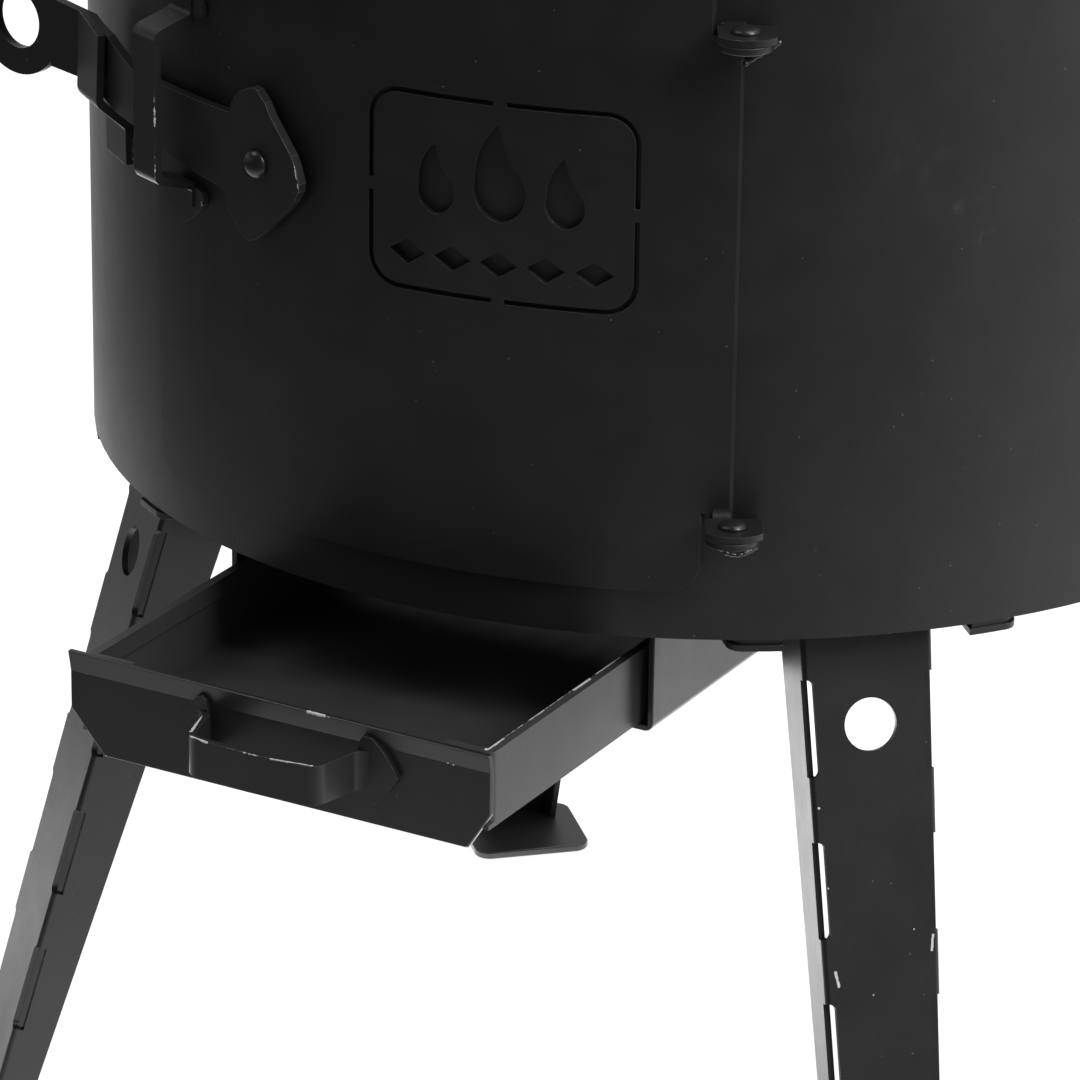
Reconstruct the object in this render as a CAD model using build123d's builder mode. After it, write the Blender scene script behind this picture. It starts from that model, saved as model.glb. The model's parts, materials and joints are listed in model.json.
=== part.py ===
from build123d import *
import os
from math import asin, cos, radians, sin, tan

os.makedirs("parts", exist_ok=True)

# Cauldron stove on four splayed legs, in millimetres, +Z up.
# The origin is the centre of the cauldron seat, on the top face of the seat ring.
# Heights are counted from the lower edge of the firebox wall and turned into Z by level().
# Azimuths are in degrees from the front, which faces -Y, and grow towards +X.

# Firebox
body_diameter = 400.0
body_height = 320.0
wall_sheet = 2.0
seat_diameter = 350.0
seat_ring_thickness = 3.0
bottom_sheet = 2.0
smoke_slot_width = 10.0
smoke_slot_height = 24.0
smoke_slot_drop = 36.0
smoke_slot_count = 16

# Gaps
fit_gap = 0.2
run_gap = 0.3
pin_clearance = 0.06
overrun = 5.0

# Grate and the ash opening under it
grate_width = 130.0
grate_length = 190.0
grate_thickness = 8.0
grate_centre_y = -40.0
grate_slot_width = 6.0
grate_slot_length = 76.0
grate_slot_pitch = 12.0
grate_slot_rows = 2
grate_slot_row_pitch = 88.0
grate_slot_count = 9
grate_ledge = 12.0
ash_hole_corner = 8.0

# Fire door
door_centre_azimuth = -0.5
door_half_angle = 28.0
door_low = 16.0
door_high = 216.0
door_sheet = 2.0
door_gap = 0.5
door_corner = 9.0
door_overlap = 10.0
door_hole_corner = 6.0
liner_sheet = 2.0
liner_margin = 3.0

# Hinges
hinge_azimuth = 30.1
hinge_reach = 11.0
hinge_strip_azimuth = 29.9
hinge_strip_low = 41.3
hinge_strip_high = 188.1
lower_tab_top = 40.6
upper_tab_top = 192.0
tab_left = 8.0
tab_right = 8.8
tab_behind = 6.9
tab_ahead = 8.4
tab_corner = 1.5
tab_front_radius = 11.2
tab_neck = 5.6
lug_radius = 8.2
lug_thickness = 2.5
lug_root_start = 1.0
hinge_pin_diameter = 5.0
hinge_head_diameter = 8.4
hinge_head_height = 1.8
hinge_tail_height = 1.8
hinge_tail_diameter = 7.5

# Cut-out panel on the door
motif_azimuth = 10.0
motif_height = 133.0
motif_width = 84.0
motif_tall = 62.0
motif_corner = 10.0
motif_slit = 1.6
motif_bridge = 4.0
flame_heights = (22.0, 30.0, 22.0)
flame_pitch = 20.0
flame_base = -6.0
lozenge_count = 5
lozenge_width = 12.0
lozenge_tall = 8.0
lozenge_pitch = 14.5
lozenge_drop = 19.0

# Latch
latch_azimuth = -12.6
latch_height = 132.0
lever_thickness = 3.0
lever_lift_gap = 2.6
lever_bar_height = 24.4
lever_bar_reach = 112.0
lever_turn_azimuth = -40.0
lever_flare_azimuth = -10.0
lever_flare_length = 52.0
ring_reach = 126.0
ring_rise = 12.8
ring_outer_radius = 17.8
ring_hole_radius = 9.3
leaf_half_height = 25.0
latch_pin_diameter = 6.0
latch_head_diameter = 8.6
latch_tail_diameter = 9.4
latch_head_height = 2.6
latch_washer_diameter = 15.0

# Latch guide on the door
guide_azimuth = -23.4
guide_low = 119.7
guide_high = 165.0
guide_strap_width = 11.4
guide_sheet = 2.5
guide_foot_sheet = 2.0
guide_reach = 16.0
guide_slope = 4.0
guide_foot_width = 22.0
guide_foot_length = 13.0
guide_bend = 2.5

# Catch on the wall
catch_azimuth = -37.4
catch_width = 18.0
catch_sheet = 2.5
catch_low = 108.6
catch_jog_low = 120.8
catch_jog_high = 129.2
catch_top = 152.6
catch_step = 9.4
catch_lean = 1.0
catch_bend = 3.0
catch_top_slant = 1.5

# Ash drawer, drawn out as it stands at rest
drawer_reach = 264.7
drawer_pull = 90.7
drawer_front_left = 73.3
drawer_front_right = 72.0
drawer_front_top_left = -7.8
drawer_front_top_right = -9.2
drawer_front_bottom = -40.4
drawer_front_sheet = 2.0
drawer_cut_left = 11.8
drawer_cut_left_height = 13.6
drawer_cut_right = 7.6
drawer_cut_right_height = 11.9
drawer_front_fold = -14.8
drawer_front_lean = 1.4
tray_half = 70.3
tray_sheet = 1.5
tray_rim = -10.4
tray_bottom = -34.2
tray_length = 250.0
tray_hem = 3.0
tray_hem_height = 6.0
tray_flange = 16.0
tray_flange_setback = 1.5
tray_corner = 3.0

# Drawer handle
handle_centre_x = 2.5
handle_root_half = 26.0
handle_grip_half = 21.5
handle_reach = 20.0
handle_bow = 1.0
handle_sheet = 2.0
handle_top = -16.5
handle_strap = 12.4
handle_bend = 5.0
handle_leaf_width = 22.0
handle_leaf_left = 10.4
handle_leaf_right = 13.5

# Drawer rails
rail_inner_half = 73.0
rail_sheet = 2.0
rail_lip = 12.0
rail_flange = 8.0
rail_bend = 3.0
rail_end_gap = 5.0
stop_height = 24.0

# Legs
leg_azimuths = {"front_left": -43.3, "front_right": 43.3, "rear_right": 136.7, "rear_left": -136.7}
leg_top_radius = 184.7
leg_splay = 16.0
leg_top_width = 41.5
leg_bottom_width = 29.0
leg_sheet = 2.0
leg_flange = 23.0
leg_flange_low = 10.0
leg_fold_radius = 1.6
leg_hole_diameter = 16.3
leg_hole_drop = 33.2
leg_slot_length = 30.0
leg_slot_width = 4.6
leg_slot_inset = 0.7
leg_slot_depth = 3.4
leg_slot_first = 33.3
leg_slot_pitch = 49.6
leg_slot_count = 5
floor_drop = 266.0
foot_width = 44.0
foot_depth = 40.0
foot_thickness = 3.0
foot_corner = 6.0
foot_overhang = 1.5

# Leg sockets, with reach and insets counted from the top of the legs outwards and inwards
socket_half = 45.0
socket_slot_half = 29.0
socket_plate = 2.0
socket_end_reach = 14.8
socket_corner = 5.0
socket_shoulder_inset = 6.7
socket_back_inset = 37.7
socket_back_half = 22.0
socket_bar_inset = 24.7
socket_inset = 0.8
tongue_half = 15.0
tongue_end_inset = 37.2
stud_inset = 30.7
stud_diameter = 8.0
stud_length = 16.0
nut_height = 7.0
nut_diameter = 14.0
nut_wing_span = 32.0
nut_wing_height = 14.0
nut_wing_sheet = 2.5
stud_hole_gap = 0.3

# Side handles
side_handle_azimuths = {"left": -90.0, "right": 90.0}
side_handle_height = 262.0
side_handle_half = 52.0
side_handle_reach = 38.0
side_handle_bar = 8.0
side_handle_bend = 16.0

# Rounding of a rivet head as a share of its height
dome_round_share = 0.85

# Outlines as shares of a named size: leaf head and bar of the lever, flame of the panel, small leaf foot
lever_leaf_shares = [
    (-0.49, 0.53), (-0.39, 0.73), (-0.29, 0.83), (-0.15, 0.90), (-0.06, 0.93), (0.01, 0.91), (0.14, 0.78),
    (0.23, 0.63), (0.33, 0.51), (0.46, 0.35), (0.57, 0.22), (0.65, 0.06), (0.70, -0.10), (0.69, -0.20),
    (0.62, -0.33), (0.50, -0.48), (0.30, -0.66), (0.16, -0.80), (0.01, -0.94), (-0.14, -1.00),
    (-0.26, -0.95), (-0.40, -0.80), (-0.50, -0.66), (-0.59, -0.47),
]
lever_bar_shares = [
    (0.0, 0.545), (0.56, 0.545), (0.62, 0.63), (0.67, 0.70), (0.71, 0.755), (0.79, 0.785), (1.0, 0.93),
    (1.0, 0.02), (0.80, -0.065), (0.74, -0.09), (0.66, -0.155), (0.55, -0.185), (0.32, -0.34),
    (0.23, -0.40), (0.14, -0.455), (0.0, -0.455),
]
flame_shares = [
    (0.0, 0.0), (0.27, 0.24), (0.16, 0.55), (0.06, 0.76), (0.0, 1.0), (-0.20, 0.72), (-0.26, 0.40),
    (-0.20, 0.12), (0.0, 0.0),
]
foot_leaf_shares = [
    (0.0, 0.34), (0.06, 0.45), (0.18, 0.50), (0.34, 0.48), (0.55, 0.38), (0.75, 0.24), (0.90, 0.11),
    (1.0, 0.0),
]

# Worked out from the sizes above
body_radius = body_diameter / 2
inner_radius = body_radius - wall_sheet
shell_height = body_height - seat_ring_thickness
door_inner_radius = body_radius + door_gap
door_outer_radius = door_inner_radius + door_sheet
hinge_radius = body_radius + hinge_reach
lever_inner_radius = door_outer_radius + lever_lift_gap
lever_outer_radius = lever_inner_radius + lever_thickness
leg_length = floor_drop / cos(radians(leg_splay))
rail_front = drawer_reach - drawer_front_sheet - drawer_pull
tray_front = drawer_reach - drawer_front_sheet
rail_low = tray_bottom - run_gap - rail_sheet
foot_outer_radius = leg_top_radius + floor_drop * tan(radians(leg_splay)) + foot_overhang
socket_end_radius = leg_top_radius + socket_end_reach
socket_far_radius = socket_end_radius + overrun
socket_shoulder_radius = leg_top_radius - socket_shoulder_inset
socket_back_radius = leg_top_radius - socket_back_inset
socket_bar_radius = leg_top_radius - socket_bar_inset
tongue_end_radius = leg_top_radius - tongue_end_inset
stud_radius = leg_top_radius - stud_inset


def level(height):
    """Z of a height above the lower edge of the firebox wall."""
    return height - body_height


def outward(azimuth):
    """Level unit direction away from the firebox axis."""
    return Vector(sin(radians(azimuth)), -cos(radians(azimuth)), 0)


def sideways(azimuth):
    """Level unit direction in which the azimuth grows."""
    return Vector(cos(radians(azimuth)), sin(radians(azimuth)), 0)


def facing_plane(azimuth, radius, height):
    """Upright plane that looks outward: X sideways, Y up."""
    origin = outward(azimuth) * radius + Vector(0, 0, level(height))
    return Plane(origin=origin, x_dir=sideways(azimuth), z_dir=outward(azimuth))


def level_plane(azimuth, radius, height):
    """Level plane at a place: X sideways, Y towards the firebox axis."""
    origin = outward(azimuth) * radius + Vector(0, 0, level(height))
    return Plane(origin=origin, x_dir=sideways(azimuth), z_dir=(0, 0, 1))


def side_plane(azimuth, radius, height):
    """Upright plane seen from the side: X outward, Y up."""
    origin = outward(azimuth) * radius + Vector(0, 0, level(height))
    return Plane(origin=origin, x_dir=outward(azimuth), z_dir=-sideways(azimuth))


def outline(points):
    """Closed face through the points, in the sketch that is being built."""
    Polygon(*points, align=None)


def ring(outer, inner):
    """Ring between two radii, in the sketch that is being built."""
    Circle(outer)
    Circle(inner, mode=Mode.SUBTRACT)


def leaf_foot(width, length, x, y, turn):
    """Leaf with its root at a point, pointing along the turn, in the sketch that is being built."""
    upper = [(length * a, width * b) for a, b in foot_leaf_shares]
    lower = [(length * a, -width * b) for a, b in reversed(foot_leaf_shares[:-1])]
    c, s = cos(radians(turn)), sin(radians(turn))
    turned = [(x + c * a - s * b, y + s * a + c * b) for a, b in upper + lower]
    outline(turned)


def rivet(plane, grip, pin_diameter, head_diameter, head_height, tail_diameter, tail_height):
    """Rivet whose head stands on the plane, with its pin through the grip and a formed tail."""
    along = Axis(plane.origin, plane.z_dir)
    with BuildPart() as made:
        with BuildSketch(plane):
            Circle(head_diameter / 2)
        extrude(amount=head_height)
        fillet(made.faces().sort_by(along)[-1].edges(), radius=head_height * dome_round_share)
        with BuildSketch(plane.offset(-grip)):
            Circle(tail_diameter / 2)
        extrude(amount=-tail_height)
        fillet(made.faces().sort_by(along)[0].edges(), radius=tail_height * dome_round_share)
        with BuildSketch(plane):
            Circle(pin_diameter / 2)
        extrude(amount=-grip)
    return made


# Firebox wall with the door hole and the smoke slots
door_hole_half = asin((door_outer_radius * sin(radians(door_half_angle)) - door_overlap) / body_radius)
door_hole_width = 2 * body_radius * sin(door_hole_half)
door_hole_height = door_high - door_low - 2 * door_overlap
door_middle = (door_low + door_high) / 2

with BuildPart() as body_shell:
    with BuildSketch(Plane.XY.offset(level(0))):
        ring(body_radius, inner_radius)
    extrude(amount=shell_height)
    with BuildSketch(facing_plane(door_centre_azimuth, body_radius / 2, door_middle)):
        RectangleRounded(door_hole_width, door_hole_height, door_hole_corner)
    extrude(amount=body_radius, mode=Mode.SUBTRACT)
    for index in range(smoke_slot_count):
        slot_azimuth = 360 / smoke_slot_count * (index + 0.5)
        with BuildSketch(facing_plane(slot_azimuth, body_radius / 2, body_height - smoke_slot_drop)):
            SlotOverall(smoke_slot_height, smoke_slot_width, rotation=90)
        extrude(amount=body_radius, mode=Mode.SUBTRACT)
body_shell.part.label = "body_shell"
export_step(body_shell.part, "parts/body_shell.step")

# Seat ring on top of the wall
with BuildPart() as seat_ring:
    with BuildSketch(Plane.XY.offset(level(shell_height))):
        ring(body_radius, seat_diameter / 2)
    extrude(amount=seat_ring_thickness)
seat_ring.part.label = "seat_ring"
export_step(seat_ring.part, "parts/seat_ring.step")

# Floor of the firebox, with the ash hole under the grate
ash_hole_width = grate_width - 2 * grate_ledge
ash_hole_length = grate_length - 2 * grate_ledge

with BuildPart() as bottom_plate:
    with BuildSketch(Plane.XY.offset(level(0))):
        Circle(inner_radius - fit_gap)
        with Locations((0, grate_centre_y)):
            RectangleRounded(ash_hole_width, ash_hole_length, ash_hole_corner, mode=Mode.SUBTRACT)
    extrude(amount=bottom_sheet)
bottom_plate.part.label = "bottom_plate"
export_step(bottom_plate.part, "parts/bottom_plate.step")

# Grate, a slotted plate that lies over the ash hole
with BuildPart() as fire_grate:
    with BuildSketch(Plane.XY.offset(level(bottom_sheet))):
        with Locations((0, grate_centre_y)):
            RectangleRounded(grate_width, grate_length, ash_hole_corner)
            with GridLocations(grate_slot_pitch, grate_slot_row_pitch, grate_slot_count, grate_slot_rows):
                SlotOverall(grate_slot_length, grate_slot_width, rotation=90, mode=Mode.SUBTRACT)
    extrude(amount=grate_thickness)
fire_grate.part.label = "fire_grate"
export_step(fire_grate.part, "parts/fire_grate.step")


# Hinge places: the tab turns on the pin, just above the lug
def pin_plane(height):
    """Level plane at the hinge axis: X along the wall, Y towards the firebox axis."""
    return level_plane(hinge_azimuth, hinge_radius, height)


tab_low_heights = {"lower": lower_tab_top - door_sheet, "upper": upper_tab_top - door_sheet}
tab_root = hinge_reach - door_gap
tab_middle = ((tab_right - tab_left) / 2, (tab_behind - tab_ahead) / 2)
tab_front_centre = (tab_middle[0], tab_front_radius - tab_ahead)


def lozenge(x, y, wide, tall):
    """Diamond round a point, in the sketch that is being built."""
    outline([(x - wide / 2, y), (x, y - tall / 2), (x + wide / 2, y), (x, y + tall / 2)])


def motif_slits():
    """Broken frame of the cut-out panel."""
    inner_width = motif_width - 2 * motif_slit
    inner_tall = motif_tall - 2 * motif_slit
    RectangleRounded(motif_width, motif_tall, motif_corner)
    RectangleRounded(inner_width, inner_tall, motif_corner - motif_slit, mode=Mode.SUBTRACT)
    Rectangle(motif_bridge, motif_tall + overrun, mode=Mode.SUBTRACT)
    Rectangle(motif_width + overrun, motif_bridge, mode=Mode.SUBTRACT)


# Door panel with its hinge tabs
strip_half = door_outer_radius * sin(radians(hinge_strip_azimuth - door_centre_azimuth))
door_half = door_outer_radius * sin(radians(door_half_angle))
neck_start = strip_half - tab_neck
neck_low = lower_tab_top - door_sheet - door_middle
neck_high = upper_tab_top - door_middle

with BuildPart() as door_panel:
    with BuildSketch(facing_plane(door_centre_azimuth, body_radius / 2, door_middle)):
        RectangleRounded(2 * door_half, door_high - door_low, door_corner)
        outline([
            (0, hinge_strip_low - door_middle), (strip_half, hinge_strip_low - door_middle),
            (strip_half, hinge_strip_high - door_middle), (0, hinge_strip_high - door_middle),
        ])
        outline([
            (neck_start, neck_low), (strip_half, neck_low), (strip_half, neck_high), (neck_start, neck_high),
        ])
    extrude(amount=body_radius)
    with BuildSketch(Plane.XY.offset(level(door_low))):
        ring(door_outer_radius, door_inner_radius)
    extrude(amount=door_high - door_low, mode=Mode.INTERSECT)
    for tab_low in tab_low_heights.values():
        with BuildSketch(pin_plane(tab_low)):
            with Locations(tab_middle):
                RectangleRounded(tab_left + tab_right, tab_ahead + tab_behind, tab_corner)
            with Locations(tab_front_centre):
                Circle(tab_front_radius, mode=Mode.INTERSECT)
            outline([(-tab_neck, 0), (-tab_neck, tab_root), (-run_gap, tab_root), (-run_gap, 0)])
            Circle(hinge_pin_diameter / 2 + pin_clearance, mode=Mode.SUBTRACT)
        extrude(amount=door_sheet)
    with BuildSketch(facing_plane(motif_azimuth, body_radius / 2, motif_height)):
        motif_slits()
        for index, tall in enumerate(flame_heights):
            flame_foot = Vector((index - (len(flame_heights) - 1) / 2) * flame_pitch, flame_base)
            flame_points = [flame_foot + Vector(a, b) * tall for a, b in flame_shares]
            with BuildLine():
                for start in range(0, len(flame_points) - 1, 2):
                    ThreePointArc(*flame_points[start:start + 3])
            make_face()
        for index in range(lozenge_count):
            lozenge_x = (index - (lozenge_count - 1) / 2) * lozenge_pitch
            lozenge(lozenge_x, -lozenge_drop, lozenge_width, lozenge_tall)
    extrude(amount=body_radius, mode=Mode.SUBTRACT)
    with BuildSketch(facing_plane(latch_azimuth, body_radius / 2, latch_height)):
        Circle(latch_pin_diameter / 2 + pin_clearance)
    extrude(amount=body_radius, mode=Mode.SUBTRACT)
door_panel.part.label = "door_panel"
export_step(door_panel.part, "parts/door_panel.step")

# Liner plate behind the door, in the door hole
liner_outer = door_inner_radius - fit_gap
liner_inner = liner_outer - liner_sheet

with BuildPart() as door_liner:
    with BuildSketch(facing_plane(door_centre_azimuth, body_radius / 2, door_middle)):
        liner_width = door_hole_width - 2 * liner_margin
        liner_tall = door_hole_height - 2 * liner_margin
        RectangleRounded(liner_width, liner_tall, door_hole_corner)
    extrude(amount=body_radius)
    with BuildSketch(Plane.XY.offset(level(door_low))):
        ring(liner_outer, liner_inner)
    extrude(amount=door_high - door_low, mode=Mode.INTERSECT)
    with BuildSketch(facing_plane(latch_azimuth, body_radius / 2, latch_height)):
        Circle(latch_pin_diameter / 2 + pin_clearance)
    extrude(amount=body_radius, mode=Mode.SUBTRACT)
door_liner.part.label = "door_liner"
export_step(door_liner.part, "parts/door_liner.step")

# Hinge lugs on the wall, each under a tab, and the rivets through both
for side, tab_low in tab_low_heights.items():
    lug_top = tab_low - run_gap
    lug_low = lug_top - lug_thickness
    with BuildPart() as hinge_lug:
        with BuildSketch(pin_plane(lug_low)):
            Circle(lug_radius)
            outline([
                (lug_root_start, 0), (lug_radius, 0), (lug_radius, hinge_reach + overrun),
                (lug_root_start, hinge_reach + overrun),
            ])
            Circle(hinge_pin_diameter / 2 + pin_clearance, mode=Mode.SUBTRACT)
        extrude(amount=lug_thickness)
        with BuildSketch(Plane.XY.offset(level(lug_low))):
            Circle(body_radius)
        extrude(amount=lug_thickness, mode=Mode.SUBTRACT)
    hinge_lug.part.label = f"hinge_lug_{side}"
    export_step(hinge_lug.part, f"parts/hinge_lug_{side}.step")

    head_low = tab_low + door_sheet + fit_gap
    tail_top = lug_low - fit_gap
    hinge_rivet = rivet(
        pin_plane(head_low), head_low - tail_top, hinge_pin_diameter,
        hinge_head_diameter, hinge_head_height, hinge_tail_diameter, hinge_tail_height,
    )
    hinge_rivet.part.label = f"hinge_rivet_{side}"
    export_step(hinge_rivet.part, f"parts/hinge_rivet_{side}.step")

# Latch lever: leaf head, bar that follows the wall, and finger ring that stands off it
turn_point = outward(lever_turn_azimuth) * (lever_inner_radius + lever_thickness / 2)

with BuildPart() as latch_lever:
    with BuildSketch(Plane.XY.offset(level(latch_height - 2 * leaf_half_height))):
        with BuildLine():
            sweep_angle = latch_azimuth - lever_turn_azimuth
            inside = CenterArc((0, 0), lever_inner_radius, lever_turn_azimuth - 90, sweep_angle)
            outside = CenterArc((0, 0), lever_outer_radius, lever_turn_azimuth - 90, sweep_angle)
            Line(inside @ 0, outside @ 0)
            Line(inside @ 1, outside @ 1)
        make_face()
        with Locations(turn_point):
            Circle(lever_thickness / 2)
    with BuildSketch(level_plane(latch_azimuth, lever_inner_radius, latch_height - 2 * leaf_half_height)):
        with Locations((leaf_half_height / 2, -lever_thickness / 2)):
            Rectangle(leaf_half_height, lever_thickness)
    flare_origin = turn_point + Vector(0, 0, level(latch_height - 2 * leaf_half_height))
    with BuildSketch(Plane(origin=flare_origin, x_dir=sideways(lever_flare_azimuth), z_dir=(0, 0, 1))):
        with Locations((-lever_flare_length / 2, 0)):
            Rectangle(lever_flare_length, lever_thickness)
    extrude(amount=4 * leaf_half_height)
    with BuildSketch(facing_plane(latch_azimuth, body_radius / 2, latch_height)):
        outline([(leaf_half_height * a, leaf_half_height * b) for a, b in lever_leaf_shares])
        outline([(-lever_bar_reach * a, lever_bar_height * b) for a, b in lever_bar_shares])
        with Locations((-ring_reach, ring_rise)):
            Circle(ring_outer_radius)
            Circle(ring_hole_radius, mode=Mode.SUBTRACT)
        Circle(latch_pin_diameter / 2 + pin_clearance, mode=Mode.SUBTRACT)
    extrude(amount=body_radius, mode=Mode.INTERSECT)
latch_lever.part.label = "latch_lever"
export_step(latch_lever.part, "parts/latch_lever.step")

# Washer and rivet that hold the lever on the door
with BuildPart() as latch_washer:
    with BuildSketch(facing_plane(latch_azimuth, door_outer_radius, latch_height)):
        Circle(latch_washer_diameter / 2)
        Circle(latch_pin_diameter / 2 + pin_clearance, mode=Mode.SUBTRACT)
    extrude(amount=lever_lift_gap - run_gap)
latch_washer.part.label = "latch_washer"
export_step(latch_washer.part, "parts/latch_washer.step")

latch_head_place = lever_outer_radius + run_gap
latch_tail_place = liner_inner - fit_gap

latch_rivet = rivet(
    facing_plane(latch_azimuth, latch_head_place, latch_height), latch_head_place - latch_tail_place,
    latch_pin_diameter, latch_head_diameter, latch_head_height, latch_tail_diameter, latch_head_height,
)
latch_rivet.part.label = "latch_rivet"
export_step(latch_rivet.part, "parts/latch_rivet.step")

# Guide, a strap that stands off the door and lets the lever move up and down behind it
guide_foot_middle = fit_gap / 2 + guide_sheet / 2
guide_web_middle = guide_reach - guide_sheet / 2
guide_root_low = guide_low - guide_slope
guide_root_high = guide_high + guide_slope

with BuildPart() as latch_guide:
    with BuildSketch(side_plane(guide_azimuth, door_outer_radius, 0)):
        with BuildLine():
            FilletPolyline(
                (guide_foot_middle, guide_root_low - guide_foot_length / 2),
                (guide_foot_middle, guide_root_low),
                (guide_web_middle, guide_low),
                (guide_web_middle, guide_high),
                (guide_foot_middle, guide_root_high),
                (guide_foot_middle, guide_root_high + guide_foot_length / 2),
                radius=guide_bend,
            )
        trace(line_width=guide_sheet)
    extrude(amount=guide_strap_width / 2, both=True)
    with BuildSketch(facing_plane(guide_azimuth, door_outer_radius + fit_gap / 2, 0)):
        leaf_foot(guide_foot_width, guide_foot_length, 0, guide_root_low, -90)
        leaf_foot(guide_foot_width, guide_foot_length, 0, guide_root_high, 90)
    extrude(amount=guide_foot_sheet)
latch_guide.part.label = "latch_guide"
export_step(latch_guide.part, "parts/latch_guide.step")

# Catch, a bent strip on the wall, open at the top, that the lever drops behind
catch_foot_middle = fit_gap + catch_sheet / 2
catch_tongue_middle = catch_foot_middle + catch_step

with BuildPart() as latch_catch:
    with BuildSketch(side_plane(catch_azimuth, body_radius, 0)):
        with BuildLine():
            FilletPolyline(
                (catch_foot_middle, catch_low),
                (catch_foot_middle, catch_jog_low),
                (catch_tongue_middle, catch_jog_high),
                (catch_tongue_middle - catch_lean, catch_top + catch_top_slant),
                radius=catch_bend,
            )
        trace(line_width=catch_sheet)
    extrude(amount=catch_width / 2, both=True)
    with BuildSketch(facing_plane(catch_azimuth, body_radius, catch_top)):
        outline([
            (-catch_width, 2 * catch_top_slant), (catch_width, -2 * catch_top_slant),
            (catch_width, catch_width), (-catch_width, catch_width),
        ])
    extrude(amount=catch_width, mode=Mode.SUBTRACT)
latch_catch.part.label = "latch_catch"
export_step(latch_catch.part, "parts/latch_catch.step")

# Ash tray: floor, three walls with a folded rim, and two front flanges
tray_back = tray_length - tray_front
tray_walls_length = tray_length - tray_flange_setback
tray_walls_centre = tray_back - tray_walls_length / 2
tray_open_half = tray_half - tray_flange
tray_layers = {tray_sheet: tray_bottom, tray_hem: tray_rim - tray_hem_height}

with BuildPart() as ash_tray:
    with BuildSketch(Plane.XY.offset(level(tray_bottom))):
        with Locations((0, (tray_back - tray_front) / 2)):
            Rectangle(2 * tray_half, tray_length)
    extrude(amount=tray_sheet)
    for thickness, low in tray_layers.items():
        with BuildSketch(Plane.XY.offset(level(low))):
            with Locations((0, tray_walls_centre)):
                inner_half = tray_half - thickness
                inner_length = tray_walls_length - 2 * thickness
                RectangleRounded(2 * tray_half, tray_walls_length, tray_corner)
                Rectangle(2 * inner_half, inner_length, mode=Mode.SUBTRACT)
            with Locations((0, tray_walls_centre - tray_walls_length / 2)):
                Rectangle(2 * tray_open_half, 2 * tray_flange, mode=Mode.SUBTRACT)
        extrude(amount=tray_rim - low)
ash_tray.part.label = "ash_tray"
export_step(ash_tray.part, "parts/ash_tray.step")

# Front plate of the drawer, with cut lower corners and its upper edge bent slightly forward
front_section = [
    (0, drawer_front_bottom), (0, drawer_front_fold), (drawer_front_lean, drawer_front_top_left),
    (drawer_front_sheet + drawer_front_lean, drawer_front_top_left),
    (drawer_front_sheet, drawer_front_fold), (drawer_front_sheet, drawer_front_bottom),
]

with BuildPart() as drawer_front:
    with BuildSketch(facing_plane(0, tray_front, 0)):
        outline([
            (-drawer_front_left, drawer_front_top_left), (drawer_front_right, drawer_front_top_right),
            (drawer_front_right, drawer_front_bottom + drawer_cut_right_height),
            (drawer_front_right - drawer_cut_right, drawer_front_bottom),
            (drawer_cut_left - drawer_front_left, drawer_front_bottom),
            (-drawer_front_left, drawer_front_bottom + drawer_cut_left_height),
        ])
    extrude(amount=drawer_front_sheet + drawer_front_lean)
    with BuildSketch(side_plane(0, tray_front, 0)):
        outline(front_section)
    extrude(amount=drawer_front_left, both=True, mode=Mode.INTERSECT)
drawer_front.part.label = "drawer_front"
export_step(drawer_front.part, "parts/drawer_front.step")

# Drawer handle, a bent strap with two leaf feet
handle_middle = handle_sheet / 2
handle_foot_left = handle_root_half + handle_leaf_left / 2
handle_foot_right = handle_root_half + handle_leaf_right / 2

with BuildPart() as drawer_handle:
    handle_low = level(handle_top - handle_strap)
    with BuildSketch(Plane(origin=(handle_centre_x, -drawer_reach, handle_low), z_dir=(0, 0, 1))):
        with BuildLine():
            FilletPolyline(
                (-handle_foot_left, -handle_middle), (-handle_root_half, -handle_middle),
                (-handle_grip_half, handle_middle - handle_reach),
                (0, handle_middle - handle_reach - handle_bow),
                (handle_grip_half, handle_middle - handle_reach),
                (handle_root_half, -handle_middle), (handle_foot_right, -handle_middle),
                radius=handle_bend,
            )
        trace(line_width=handle_sheet)
    extrude(amount=handle_strap)
    with BuildSketch(facing_plane(0, drawer_reach, handle_top - handle_strap / 2)):
        leaf_foot(handle_leaf_width, handle_leaf_right, handle_centre_x + handle_root_half, 0, 0)
        leaf_foot(handle_leaf_width, handle_leaf_left, handle_centre_x - handle_root_half, 0, 180)
    extrude(amount=handle_sheet)
    with BuildSketch(side_plane(0, tray_front, 0)):
        outline(front_section)
    extrude(amount=drawer_front_left, both=True, mode=Mode.SUBTRACT)
drawer_handle.part.label = "drawer_handle"
export_step(drawer_handle.part, "parts/drawer_handle.step")

# Rails under the firebox floor, and the stop behind the closed drawer
rail_outer_half = rail_inner_half + rail_sheet
rail_back = tray_back + drawer_pull + rail_end_gap

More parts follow.
